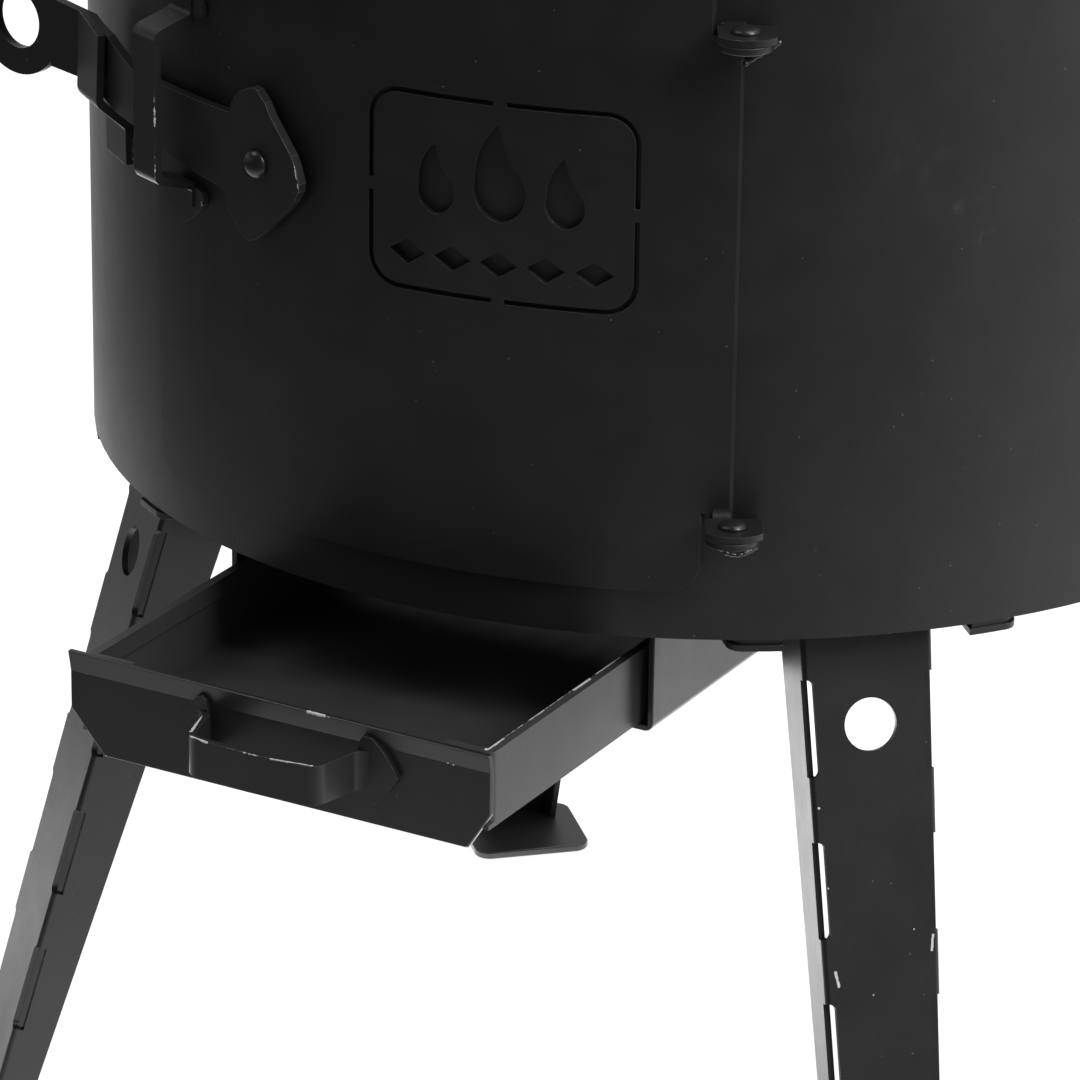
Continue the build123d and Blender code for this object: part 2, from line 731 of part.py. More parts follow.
for side, sign in {"left": -1, "right": 1}.items():
    with BuildPart() as drawer_rail:
        with BuildSketch(facing_plane(0, rail_front, 0)) as rail_section:
            outline([
                (sign * (rail_outer_half - rail_flange), 0), (sign * rail_outer_half, 0),
                (sign * rail_outer_half, rail_low), (sign * (rail_outer_half - rail_lip), rail_low),
                (sign * (rail_outer_half - rail_lip), rail_low + rail_sheet),
                (sign * rail_inner_half, rail_low + rail_sheet), (sign * rail_inner_half, -rail_sheet),
                (sign * (rail_outer_half - rail_flange), -rail_sheet),
            ])
            outer_bend = rail_section.vertices().sort_by_distance((sign * rail_outer_half, rail_low))[0]
            fillet(outer_bend, radius=rail_bend)
        extrude(amount=-(rail_front + rail_back))
    drawer_rail.part.label = f"drawer_rail_{side}"
    export_step(drawer_rail.part, f"parts/drawer_rail_{side}.step")

with BuildPart() as drawer_stop:
    with BuildSketch(facing_plane(0, -rail_back, -stop_height / 2)):
        Rectangle(2 * rail_outer_half, stop_height)
    extrude(amount=-rail_sheet)
drawer_stop.part.label = "drawer_stop"
export_step(drawer_stop.part, "parts/drawer_stop.step")

# Legs: folded channels with a tongue on top and a foot plate welded below
leg_top_half = leg_top_width / 2
leg_bottom_half = leg_bottom_width / 2
leg_taper = (leg_top_half - leg_bottom_half) / leg_length
leg_taper_angle = leg_taper / radians(1)


def leg_half(down):
    """Half width of the leg's web at a distance down the leg."""
    return leg_top_half - leg_taper * down


def leg_depth(down):
    """Depth of the leg's side flanges at a distance down the leg."""
    return leg_flange - (leg_flange - leg_flange_low) * down / leg_length


def leg_plane(azimuth):
    """Plane of the leg's outer face: X sideways, Y up the leg."""
    origin = outward(azimuth) * leg_top_radius + Vector(0, 0, level(0))
    lean = outward(azimuth) * cos(radians(leg_splay)) + Vector(0, 0, sin(radians(leg_splay)))
    return Plane(origin=origin, x_dir=sideways(azimuth), z_dir=lean)


def leg_side_plane(azimuth):
    """Plane through the middle of the leg: X into the leg, Y up the leg."""
    return Plane(origin=leg_plane(azimuth).origin, x_dir=-leg_plane(azimuth).z_dir, z_dir=sideways(azimuth))


for name, azimuth in leg_azimuths.items():
    with BuildPart() as leg:
        over = -leg_flange
        under = leg_length + leg_flange
        with BuildSketch(leg_plane(azimuth)):
            outline([
                (-leg_half(over), -over), (leg_half(over), -over),
                (leg_half(under), -under), (-leg_half(under), -under),
            ])
        extrude(amount=-leg_flange)
        outer_face = leg.faces().sort_by(Axis(leg_plane(azimuth).origin, leg_plane(azimuth).z_dir))[-1]
        fillet(outer_face.edges().sort_by(SortBy.LENGTH)[-2:], radius=leg_fold_radius)
        with BuildSketch(leg_plane(azimuth).offset(-leg_sheet)):
            outline([
                (-leg_half(over) + leg_sheet, -over), (leg_half(over) - leg_sheet, -over),
                (leg_half(under) - leg_sheet, -under), (-leg_half(under) + leg_sheet, -under),
            ])
        extrude(amount=-leg_flange, mode=Mode.SUBTRACT)
        with BuildSketch(leg_side_plane(azimuth)):
            outline([
                (leg_depth(over), -over), (leg_depth(under), -under),
                (2 * leg_flange, -under), (2 * leg_flange, -over),
            ])
        extrude(amount=leg_top_width, both=True, mode=Mode.SUBTRACT)
        with BuildSketch(leg_plane(azimuth)):
            with Locations((0, -leg_hole_drop)):
                Circle(leg_hole_diameter / 2)
            for row in range(leg_slot_count):
                down = leg_slot_first + row * leg_slot_pitch
                for sign in (-1, 1):
                    with Locations((sign * (leg_half(down) - leg_slot_inset), -down)):
                        SlotOverall(leg_slot_length, leg_slot_width, rotation=90 - sign * leg_taper_angle)
        extrude(amount=-leg_slot_depth, mode=Mode.SUBTRACT)
        split(bisect_by=Plane.XY.offset(level(0)), keep=Keep.BOTTOM)
        split(bisect_by=Plane.XY.offset(level(foot_thickness - floor_drop)), keep=Keep.TOP)
        with BuildSketch(level_plane(azimuth, 0, -socket_plate)):
            web_middle = leg_top_radius - leg_sheet / 2
            outline([
                (-tongue_half, -web_middle), (tongue_half, -web_middle),
                (tongue_half, -tongue_end_radius), (-tongue_half, -tongue_end_radius),
            ])
            with Locations((0, -stud_radius)):
                Circle(stud_diameter / 2 + stud_hole_gap, mode=Mode.SUBTRACT)
        extrude(amount=socket_plate)
    leg.part.label = f"leg_{name}"
    export_step(leg.part, f"parts/leg_{name}.step")

    with BuildPart() as foot:
        with BuildSketch(level_plane(azimuth, foot_outer_radius - foot_depth / 2, -floor_drop)):
            RectangleRounded(foot_width, foot_depth, foot_corner)
        extrude(amount=foot_thickness)
    foot.part.label = f"foot_{name}"
    export_step(foot.part, f"parts/foot_{name}.step")

    with BuildPart() as socket:
        with BuildSketch(level_plane(azimuth, 0, -2 * socket_plate)) as socket_plan:
            outline([
                (-socket_half, -socket_far_radius), (-socket_half, -socket_shoulder_radius),
                (-socket_back_half, -socket_back_radius), (socket_back_half, -socket_back_radius),
                (socket_half, -socket_shoulder_radius), (socket_half, -socket_far_radius),
            ])
            Circle(socket_end_radius, mode=Mode.INTERSECT)
            for sign in (-1, 1):
                corner = socket_plan.vertices().sort_by_distance((sign * socket_half, -socket_end_radius))[0]
                fillet(corner, radius=socket_corner)
            with Locations((0, -(socket_far_radius + socket_bar_radius) / 2)):
                slot_reach = socket_far_radius - socket_bar_radius
                Rectangle(2 * socket_slot_half, slot_reach, mode=Mode.SUBTRACT)
            with Locations((0, -stud_radius)):
                Circle(stud_diameter / 2 + stud_hole_gap, mode=Mode.SUBTRACT)
        extrude(amount=socket_plate)
        with BuildSketch(level_plane(azimuth, 0, -socket_plate)) as spacer_plan:
            for sign in (-1, 1):
                outline([
                    (sign * (socket_slot_half + socket_inset), -socket_far_radius),
                    (sign * (socket_half - socket_inset), -socket_far_radius),
                    (sign * (socket_half - socket_inset), -socket_shoulder_radius),
                    (sign * (socket_slot_half + socket_inset), -socket_bar_radius),
                ])
            Circle(socket_end_radius - socket_inset, mode=Mode.INTERSECT)
            for sign in (-1, 1):
                corner = spacer_plan.vertices().sort_by_distance((sign * socket_half, -socket_end_radius))[0]
                fillet(corner, radius=socket_corner)
        extrude(amount=socket_plate)
    socket.part.label = f"leg_socket_{name}"
    export_step(socket.part, f"parts/leg_socket_{name}.step")

# Studs under the floor of the firebox, and the wing nuts on them
with BuildPart() as leg_studs:
    for azimuth in leg_azimuths.values():
        with BuildSketch(level_plane(azimuth, stud_radius, -stud_length)):
            Circle(stud_diameter / 2)
        extrude(amount=stud_length)
leg_studs.part.label = "leg_studs"
export_step(leg_studs.part, "parts/leg_studs.step")

with BuildPart() as wing_nuts:
    for azimuth in leg_azimuths.values():
        nut_top = -2 * socket_plate
        with BuildSketch(level_plane(azimuth, stud_radius, nut_top - nut_height)):
            Circle(nut_diameter / 2)
        extrude(amount=nut_height)
        with BuildSketch(facing_plane(azimuth, stud_radius, nut_top - run_gap)):
            outline([
                (-nut_diameter / 2, 0), (nut_diameter / 2, 0), (nut_wing_span / 2, -nut_height),
                (nut_wing_span / 2 - nut_wing_sheet, -nut_wing_height), (nut_diameter / 2, -nut_height),
                (-nut_diameter / 2, -nut_height), (nut_wing_sheet - nut_wing_span / 2, -nut_wing_height),
                (-nut_wing_span / 2, -nut_height),
            ])
        extrude(amount=nut_wing_sheet / 2, both=True)
        with BuildSketch(level_plane(azimuth, stud_radius, nut_top - nut_wing_height - overrun)):
            Circle(stud_diameter / 2 + pin_clearance)
        extrude(amount=nut_wing_height + 2 * overrun, mode=Mode.SUBTRACT)
wing_nuts.part.label = "wing_nuts"
export_step(wing_nuts.part, "parts/wing_nuts.step")

# Side handles, round bars welded to the wall
for side, azimuth in side_handle_azimuths.items():
    with BuildPart() as side_handle:
        root = body_radius - side_handle_bend
        with BuildLine(level_plane(azimuth, 0, side_handle_height)):
            FilletPolyline(
                (-side_handle_half, -root),
                (-side_handle_half, -(body_radius + side_handle_reach)),
                (side_handle_half, -(body_radius + side_handle_reach)),
                (side_handle_half, -root),
                radius=side_handle_bend,
            )
        start = outward(azimuth) * root - sideways(azimuth) * side_handle_half
        start_origin = start + Vector(0, 0, level(side_handle_height))
        with BuildSketch(Plane(origin=start_origin, x_dir=sideways(azimuth), z_dir=outward(azimuth))):
            Circle(side_handle_bar / 2)
        sweep()
        with BuildSketch(Plane.XY.offset(level(side_handle_height - side_handle_bar))):
            Circle(body_radius)
        extrude(amount=2 * side_handle_bar, mode=Mode.SUBTRACT)
    side_handle.part.label = f"side_handle_{side}"
    export_step(side_handle.part, f"parts/side_handle_{side}.step")
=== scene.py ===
import bpy
import bmesh
import json
import random
from math import atan2, cos, degrees, exp, pi, radians, sin, tan
from mathutils import Matrix, Vector, noise


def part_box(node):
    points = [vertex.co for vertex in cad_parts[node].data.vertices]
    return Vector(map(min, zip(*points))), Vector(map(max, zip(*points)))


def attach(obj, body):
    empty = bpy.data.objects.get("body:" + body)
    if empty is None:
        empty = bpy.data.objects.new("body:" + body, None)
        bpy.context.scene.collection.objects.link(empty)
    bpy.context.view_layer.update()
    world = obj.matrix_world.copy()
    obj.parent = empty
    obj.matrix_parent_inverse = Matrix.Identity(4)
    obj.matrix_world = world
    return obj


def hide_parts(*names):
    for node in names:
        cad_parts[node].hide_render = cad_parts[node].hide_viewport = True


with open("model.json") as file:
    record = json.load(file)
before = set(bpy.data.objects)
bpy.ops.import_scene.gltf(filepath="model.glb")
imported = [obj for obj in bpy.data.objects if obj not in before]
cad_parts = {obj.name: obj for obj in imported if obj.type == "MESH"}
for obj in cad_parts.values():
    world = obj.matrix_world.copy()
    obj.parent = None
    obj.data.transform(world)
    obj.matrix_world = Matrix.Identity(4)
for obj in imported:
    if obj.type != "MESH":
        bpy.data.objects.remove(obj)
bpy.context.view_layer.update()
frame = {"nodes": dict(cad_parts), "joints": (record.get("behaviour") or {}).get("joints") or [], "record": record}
nodes = frame["nodes"]
bodies = frame["record"]["behaviour"]["bodies"]
body_of_node = {node: body for body, members in bodies.items() for node in members}
joints = {joint["name"]: joint for joint in frame["joints"]}

# Places taken from the frame, in metres and degrees
wall_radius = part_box("body_shell")[1].x
wall_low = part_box("body_shell")[0].z
wall_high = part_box("body_shell")[1].z
wall_height = wall_high - wall_low
floor_z = min(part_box(node)[0].z for node in nodes)
hinge_pin = Vector(joints["door_hinge"]["pos_m"])
hinge_azimuth = degrees(atan2(hinge_pin.x, -hinge_pin.y))
latch_pin = Vector(joints["latch_pivot"]["pos_m"])
latch_azimuth = degrees(atan2(latch_pin.x, -latch_pin.y))

# Sizes and places that the solids have too. Radii are from the axis, heights from the wall's lower edge
hinge_radius = 0.2110
door_radius = 0.2025
leg_azimuth = 43.3
leg_splay = 16.0
leg_top_radius = 0.1847
leg_drop = 0.2660
foot_thickness = 0.0030
stud_inset = 0.0307
guide_azimuth = -23.4
guide_face = 0.2185
guide_side = 0.0057
guide_middle = 0.14235
guide_foot_face = 0.2046
lever_face = 0.2081
catch_azimuth = -37.4
catch_half = 0.0090
catch_foot_radius = 0.1998
handle_root = 0.0520


def outward(azimuth):
    """Level unit direction away from the axis, in degrees from the front towards +X."""
    return Vector((sin(radians(azimuth)), -cos(radians(azimuth)), 0.0))


def sideways(azimuth):
    """Level unit direction in which the azimuth grows."""
    return Vector((cos(radians(azimuth)), sin(radians(azimuth)), 0.0))


def raised(azimuth, elevation):
    """Unit direction at an azimuth and an elevation."""
    return outward(azimuth) * cos(radians(elevation)) + Vector((0, 0, sin(radians(elevation))))


def place(azimuth, radius, height, across=0.0):
    """Point at an azimuth, a radius and a height above the wall's lower edge, shifted sideways."""
    return outward(azimuth) * radius + sideways(azimuth) * across + Vector((0, 0, wall_low + height))


def leg_place(azimuth, across, down, inward=0.0):
    """Point on a leg's outer face: across it, down it from its top and inward from it."""
    splay = radians(leg_splay)
    top = outward(azimuth) * leg_top_radius + Vector((0, 0, wall_low))
    along = outward(azimuth) * sin(splay) - Vector((0, 0, cos(splay)))
    normal = outward(azimuth) * cos(splay) + Vector((0, 0, sin(splay)))
    return top + along * down + sideways(azimuth) * across - normal * inward


# Camera: a long lens that looks at the foot of the wall from the right and from above
view_azimuth = 27.631
view_elevation = 20.694
view_distance = 1.97138
aim_right = 1.6616
aim_up = 1.3465
camera_roll = 0.7970
lens_mm = 200.0
sensor_mm = 36.0
view_reach = 50.0

camera_data = bpy.data.cameras.new("camera")
camera_data.lens = lens_mm
camera_data.sensor_width = sensor_mm
camera_data.clip_end = view_reach
camera = bpy.data.objects.new("camera", camera_data)
bpy.context.scene.collection.objects.link(camera)
back = raised(view_azimuth + aim_right, view_elevation + aim_up)
level_right = Vector((0, 0, 1)).cross(back).normalized()
upright = back.cross(level_right)
roll = radians(camera_roll)
right = level_right * cos(roll) + upright * sin(roll)
up = upright * cos(roll) - level_right * sin(roll)
turn = Matrix((right, up, back)).transposed().to_4x4()
eye = raised(view_azimuth, view_elevation) * view_distance + Vector((0, 0, wall_low))
camera.matrix_world = Matrix.Translation(eye) @ turn
bpy.context.scene.camera = camera


# Materials. A line shorter than no_length is a point, and a speck is full within its core
no_length = 0.00001
speck_core = 0.4
speck_step = 0.02


class Nodes:
    """Short calls for building the node tree of a material or of the world."""

    def __init__(self, holder, output):
        holder.use_nodes = True
        self.holder = holder
        self.tree = holder.node_tree
        self.tree.nodes.clear()
        self.output = self.add(output)
        self.texture_coordinates = None

    def add(self, kind, **settings):
        node = self.tree.nodes.new(kind)
        for key, value in settings.items():
            setattr(node, key, value)
        return node

    def feed(self, socket, value):
        """Link an output to a socket, or give the socket a number, a vector or a colour."""
        if isinstance(value, bpy.types.NodeSocket):
            self.tree.links.new(value, socket)
        elif isinstance(value, tuple):
            socket.default_value = (*value, 1.0)
        else:
            socket.default_value = value

    def feed_all(self, sockets, values):
        for socket, value in zip(sockets, values):
            self.feed(socket, value)

    def math(self, operation, a, b=0.5, clamp=False):
        node = self.add("ShaderNodeMath", operation=operation, use_clamp=clamp)
        self.feed_all(node.inputs, (a, b))
        return node.outputs[0]

    def vector_math(self, operation, a, b=Vector((0, 0, 0))):
        node = self.add("ShaderNodeVectorMath", operation=operation)
        self.feed_all(node.inputs, (a, b))
        return node

    def part(self, vector, axis):
        """One part of a vector: X, Y or Z."""
        split = self.add("ShaderNodeSeparateXYZ")
        self.feed(split.inputs[0], vector)
        return split.outputs[axis]

    def flattened(self, vector):
        """A vector with its height taken out."""
        return self.vector_math("MULTIPLY", vector, Vector((1, 1, 0))).outputs[0]

    def level_direction(self, vector):
        """A vector with its height taken out, at unit length."""
        return self.vector_math("NORMALIZE", self.flattened(vector)).outputs[0]

    def coordinates(self):
        """Place in the piece's own frame, in metres."""
        if self.texture_coordinates is None:
            self.texture_coordinates = self.add("ShaderNodeTexCoord")
        return self.texture_coordinates.outputs["Object"]

    def noise(self, scale, detail, rough, distortion=0.0):
        node = self.add("ShaderNodeTexNoise")
        keys = ("Scale", "Detail", "Roughness", "Distortion", "Vector")
        values = (scale, detail, rough, distortion, self.coordinates())
        self.feed_all([node.inputs[key] for key in keys], values)
        return node.outputs["Fac"]

    def ramp(self, value, low, high, to_low=0.0, to_high=1.0):
        """A soft step from one number to another, while the value goes from low to high."""
        node = self.add("ShaderNodeMapRange", interpolation_type="SMOOTHSTEP")
        keys = ("Value", "From Min", "From Max", "To Min", "To Max")
        self.feed_all([node.inputs[key] for key in keys], (value, low, high, to_low, to_high))
        return node.outputs["Result"]

    def mix(self, factor, a, b):
        """Colour a where the factor is 0, colour b where it is 1."""
        node = self.add("ShaderNodeMix", data_type="RGBA")
        self.feed_all((node.inputs[0], node.inputs[6], node.inputs[7]), (factor, a, b))
        return node.outputs[2]

    def mix_number(self, factor, a, b):
        """Number a where the factor is 0, number b where it is 1."""
        node = self.add("ShaderNodeMix", data_type="FLOAT")
        self.feed_all((node.inputs[0], node.inputs[2], node.inputs[3]), (factor, a, b))
        return node.outputs[0]

    def mix_shader(self, factor, a, b):
        """Shader a where the factor is 0, shader b where it is 1."""
        node = self.add("ShaderNodeMixShader")
        self.feed_all(node.inputs, (factor, a, b))
        return node.outputs[0]

    def matt(self, grey):
        """Plain matt shader of one grey."""
        node = self.add("ShaderNodeBsdfDiffuse")
        self.feed(node.inputs["Color"], (grey, grey, grey))
        return node.outputs[0]

    def glowing(self, strength):
        """White shader that gives light."""
        node = self.add("ShaderNodeEmission")
        self.feed(node.inputs["Strength"], strength)
        return node.outputs[0]

    def near(self, start, end, radius):
        """1 along the line between two places, 0 a radius away from it."""
        if (end - start).length < no_length:
            distance = self.vector_math("DISTANCE", self.coordinates(), start).outputs["Value"]
            return self.ramp(distance, radius, 0.0)
        along = end - start
        offset = self.vector_math("SUBTRACT", self.coordinates(), start).outputs[0]
        share = self.vector_math("DOT_PRODUCT", offset, along / along.length_squared).outputs["Value"]
        foot = self.add("ShaderNodeVectorMath", operation="SCALE")
        self.feed(foot.inputs[0], along)
        self.feed(foot.inputs["Scale"], self.math("ADD", share, 0.0, clamp=True))
        distance = self.vector_math("DISTANCE", offset, foot.outputs[0]).outputs["Value"]
        return self.ramp(distance, radius, 0.0)

    def near_any(self, marks):
        """The strongest of several marks at each place."""
        total = None
        for start, end, radius, strength in marks:
            one = self.math("MULTIPLY", self.near(start, end, radius), strength)
            total = one if total is None else self.math("MAXIMUM", total, one)
        return total

    def specks(self, scale, radius, share):
        """Sparse round specks of one radius, of which a share shows."""
        cells = self.add("ShaderNodeTexVoronoi")
        self.feed_all((cells.inputs["Scale"], cells.inputs["Vector"]), (scale, self.coordinates()))
        split = self.add("ShaderNodeSeparateColor")
        self.feed(split.inputs[0], cells.outputs["Color"])
        shown = self.ramp(split.outputs[0], 1.0 - share, 1.0 - share + speck_step)
        edge = scale * radius
        return self.math("MULTIPLY", self.ramp(cells.outputs["Distance"], edge, edge * speck_core), shown)

    def edge_crest(self):
        """1 on the crest of a rounded edge, 0 on the faces beside it."""
        return self.add("ShaderNodeAttribute", attribute_name="edge_crest").outputs["Fac"]

    def bump(self, height, strength, distance, normal=None):
        node = self.add("ShaderNodeBump")
        keys = ("Strength", "Distance", "Height")
        self.feed_all([node.inputs[key] for key in keys], (strength, distance, height))
        if normal is not None:
            self.feed(node.inputs["Normal"], normal)
        return node.outputs["Normal"]

    def surface(self, **values):
        """Finish a material: its shader with the values given."""
        shader = self.add("ShaderNodeBsdfPrincipled")
        for key, value in values.items():
            self.feed(shader.inputs[key.replace("_", " ").title()], value)
        self.feed(self.output.inputs["Surface"], shader.outputs[0])
        return self.holder


def material_nodes(name):
    """Node tree of a new material."""
    return Nodes(bpy.data.materials.new(name), "ShaderNodeOutputMaterial")


bare_steel = (0.60, 0.60, 0.59)
# Primer grey, which is also the colour of the painted pools of light and of painted edge highlights
primer_and_painted_light_grey = (0.085, 0.084, 0.082)
dust_grey = (0.17, 0.17, 0.16)
rubbed_and_highlight_grey = (0.16, 0.16, 0.155)

# Noises of the coat: waves per metre, layers of detail, weight of the finer layers, distortion
orange_peel = (620.0, 3.0, 0.55)
slow_tone = (38.0, 3.0, 0.6)
finest_grain = (1500.0, 1.0, 0.5)
smudges = (9.0, 4.0, 0.62, 1.2)
ragged_edges = (780.0, 3.0, 0.65)
patches = (95.0, 4.0, 0.7)
coarse_grit = (1150.0, 2.0, 0.7)
coarse_grain = (1500.0, 2.0, 0.7)

# Where each trait of the coat sets in and where it is full
tone_span = (0.3, 0.7)
speck_span = (0.775, 0.83)
smudge_span = (0.52, 0.78)
grit_span = (0.56, 0.74)
rub_span = (0.44, 0.66)
stray_span = (1.66, 1.72)
chip_span = (1.06, 1.14)

# How strong each trait of the coat is
tone_low = 0.86
tone_high = 1.12
speck_weight = 0.20
dust_weight = 0.42
grit_weight = 0.12
rub_weight = 0.50
painted_light_weight = 0.50
ragged_weight = 0.9
smudge_gloss = 0.035
smudge_dullness = 0.06
patch_dullness = 0.12
rub_dullness = 0.12
chip_dullness = 0.08
chip_metal = 0.35
chip_bump = 0.5

# Dust specks per metre, their radius and the share that shows, and depths of the coat's relief
dust_cells = 170.0
dust_radius = 0.00040
dust_share = 0.50
grain_depth = 0.00035
chip_depth = 0.00012


def powder_coat(name, colour=0.0125, roughness=0.40, grain=0.10, coarse=0.0, edge_wear_and_highlight=0.16,
                edge_wear_and_highlight_grey=primer_and_painted_light_grey, stray=0.6, chips=(), rubs=(), painted_light=(), calms=()):
    """Semi-matte black powder coat: fine orange peel, dust specks, smudges and chipped edges; edge crests turn
    lighter, partly as worn coat and partly as painted highlight, and painted pools of light go where given.
    """
    n = material_nodes(name)
    patchy = n.noise(*patches)
    edge_crest = n.edge_crest()
    if calms:
        edge_crest = n.math("MULTIPLY", edge_crest, n.math("SUBTRACT", 1.0, n.near_any(calms), clamp=True))
    tone = n.ramp(n.noise(*slow_tone), *tone_span)
    skin = n.mix(tone, (colour * tone_low,) * 3, (colour * tone_high,) * 3)
    speck = n.ramp(n.noise(*finest_grain), *speck_span)
    skin = n.mix(n.math("MULTIPLY", speck, speck_weight), skin, primer_and_painted_light_grey)
    dust = n.specks(dust_cells, dust_radius, dust_share)
    skin = n.mix(n.math("MULTIPLY", dust, dust_weight), skin, dust_grey)
    # Edge crests turn lighter grey: partly thin, worn coat, partly painted highlight
    skin = n.mix(n.math("MULTIPLY", edge_crest, edge_wear_and_highlight), skin, edge_wear_and_highlight_grey)
    height = n.noise(*orange_peel)
    if coarse:
        grit = n.ramp(n.noise(*coarse_grit), *grit_span)
        skin = n.mix(n.math("MULTIPLY", grit, coarse * grit_weight), skin, primer_and_painted_light_grey)
        height = n.math("ADD", height, n.math("MULTIPLY", n.noise(*coarse_grain), coarse))
    smudge = n.ramp(n.noise(*smudges), *smudge_span)
    rough = n.ramp(smudge, 0.0, 1.0, roughness - smudge_gloss, roughness + smudge_dullness)
    uneven = n.math("MULTIPLY", n.math("SUBTRACT", patchy, 0.5), patch_dullness)
    rough = n.math("ADD", rough, uneven)
    if rubs:
        rub = n.math("MULTIPLY", n.near_any(rubs), n.ramp(patchy, *rub_span))
        skin = n.mix(n.math("MULTIPLY", rub, rub_weight), skin, primer_and_painted_light_grey)
        rough = n.math("ADD", rough, n.math("MULTIPLY", rub, rub_dullness))
    # Painted light: lighter grey pools on the surface where light would fall
    if painted_light:
        skin = n.mix(n.math("MULTIPLY", n.near_any(painted_light), painted_light_weight), skin, primer_and_painted_light_grey)
    chip = n.math("MULTIPLY", n.ramp(n.math("ADD", edge_crest, patchy), *stray_span), stray)
    if chips:
        ragged = n.math("MULTIPLY", n.noise(*ragged_edges), ragged_weight)
        struck = n.math("ADD", n.near_any(chips), ragged)
        chip = n.math("MAXIMUM", chip, n.ramp(struck, *chip_span))
    skin = n.mix(chip, skin, bare_steel)
    rough = n.math("ADD", rough, n.math("MULTIPLY", chip, chip_dullness))
    normal = n.bump(height, grain, grain_depth)
    normal = n.bump(n.math("SUBTRACT", 1.0, chip), chip_bump, chip_depth, normal)
    metal = n.math("MULTIPLY", chip, chip_metal)
    return n.surface(base_color=skin, metallic=metal, roughness=rough, normal=normal)


# Cast iron and zinc: noises as for the coat, spans, colours, roughness and relief
iron_grain = (520.0, 4.0, 0.7)
iron_blots = (42.0, 4.0, 0.65)
iron_blot_span = (0.45, 0.72)
iron_grey = (0.040, 0.038, 0.036)
iron_rust = (0.075, 0.052, 0.038)
iron_edge = (0.16, 0.155, 0.15)
iron_edge_weight = 0.8
iron_rough = (0.55, 0.78)
iron_metal = 0.55
iron_relief = (0.35, 0.0006)
zinc_grain = (900.0, 2.0, 0.5)
zinc_patches = (120.0, 3.0, 0.6)
zinc_patch_span = (0.4, 0.65)
zinc_bright = (0.62, 0.62, 0.60)
zinc_dull = (0.50, 0.49, 0.44)
zinc_edge = (0.74, 0.74, 0.72)
zinc_edge_weight = 0.5
zinc_rough = (0.24, 0.42)
zinc_relief = (0.12, 0.0003)


def cast_iron(name):
    """Rough cast iron, dark grey with a touch of rust in its pits."""
    n = material_nodes(name)
    blot = n.ramp(n.noise(*iron_blots), *iron_blot_span)
    colour = n.mix(blot, iron_grey, iron_rust)
    colour = n.mix(n.math("MULTIPLY", n.edge_crest(), iron_edge_weight), colour, iron_edge)
    rough = n.ramp(blot, 0.0, 1.0, *iron_rough)
    normal = n.bump(n.noise(*iron_grain), *iron_relief)
    return n.surface(base_color=colour, metallic=iron_metal, roughness=rough, normal=normal)


def zinc_plate(name):
    """Bright zinc on small steel fasteners, with a faint yellow cast and dull patches."""
    n = material_nodes(name)
    patch = n.ramp(n.noise(*zinc_patches), *zinc_patch_span)
    colour = n.mix(patch, zinc_bright, zinc_dull)
    colour = n.mix(n.math("MULTIPLY", n.edge_crest(), zinc_edge_weight), colour, zinc_edge)
    rough = n.ramp(patch, 0.0, 1.0, *zinc_rough)
    normal = n.bump(n.noise(*zinc_grain), *zinc_relief)
    return n.surface(base_color=colour, metallic=1.0, roughness=rough, normal=normal)


# Places of the marks in the coat. The tray's floor is measured from the wall's lower edge
rim_width = 0.0030
tray_floor = -0.0327
rim_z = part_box("ash_tray")[1].z
rim_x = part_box("ash_tray")[1].x - rim_width
front_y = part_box("drawer_front")[0].y
grip_depth = 0.0030
grip_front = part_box("drawer_handle")[0].y + grip_depth
handle_points = [vertex.co for vertex in nodes["drawer_handle"].data.vertices]
grip_z = max(point.z for point in handle_points if point.y < grip_front)


def on_rim(reach):
    """Inner edge of the tray's right rim, at a distance in front of the axis."""
    return Vector((rim_x, -reach, rim_z))


def in_tray(x, y):
    """The tray's floor."""
    return Vector((x, y, wall_low + tray_floor))


def on_front(across, down, inward=0.0):
    """The drawer's front, down from the height of the wall's lower edge."""
    return Vector((across, front_y + inward, wall_low - down))


def on_grip(x, y):
    """Upper edge of the drawer's handle."""
    return Vector((x, y, grip_z))


def on_guide(height, radius=guide_face, across=guide_side):
    """The latch guide, by default the right edge of its strap."""
    return place(guide_azimuth, radius, height, across)


def on_lever(height, across):
    """The outer face of the lever's head."""
    return place(latch_azimuth, lever_face, height, across)


def on_wall(azimuth, height):
    """The outer face of the wall."""
    return place(azimuth, wall_radius, height)


def on_lug(turn, radius, height):
    """The lower hinge lug, at an angle from the hinge."""
    return place(hinge_azimuth + turn, radius, height)


def on_left_leg(across, down):
    """Outer face of the front left leg."""
    return leg_place(-leg_azimuth, across, down)


def on_right_leg(across, down):
    """Outer face of the front right leg."""
    return leg_place(leg_azimuth, across, down)


def marks(where, *rows):
    """Marks in the coat: a row has one place or the two ends of a line, a radius and a strength."""
    return [(where(*ends[0]), where(*ends[-1]), radius, strength) for *ends, radius, strength in rows]


tray_chips = marks(
    on_rim,
    ((0.208,), (0.199,), 0.0020, 1.15),
    ((0.194,), (0.180,), 0.0013, 0.95),
    ((0.234,), (0.226,), 0.0013, 0.88),
    ((0.259,), (0.250,), 0.0018, 0.98),
    ((0.172,), (0.140,), 0.0010, 0.70),
    ((0.250,), (0.210,), 0.0010, 0.66),
)
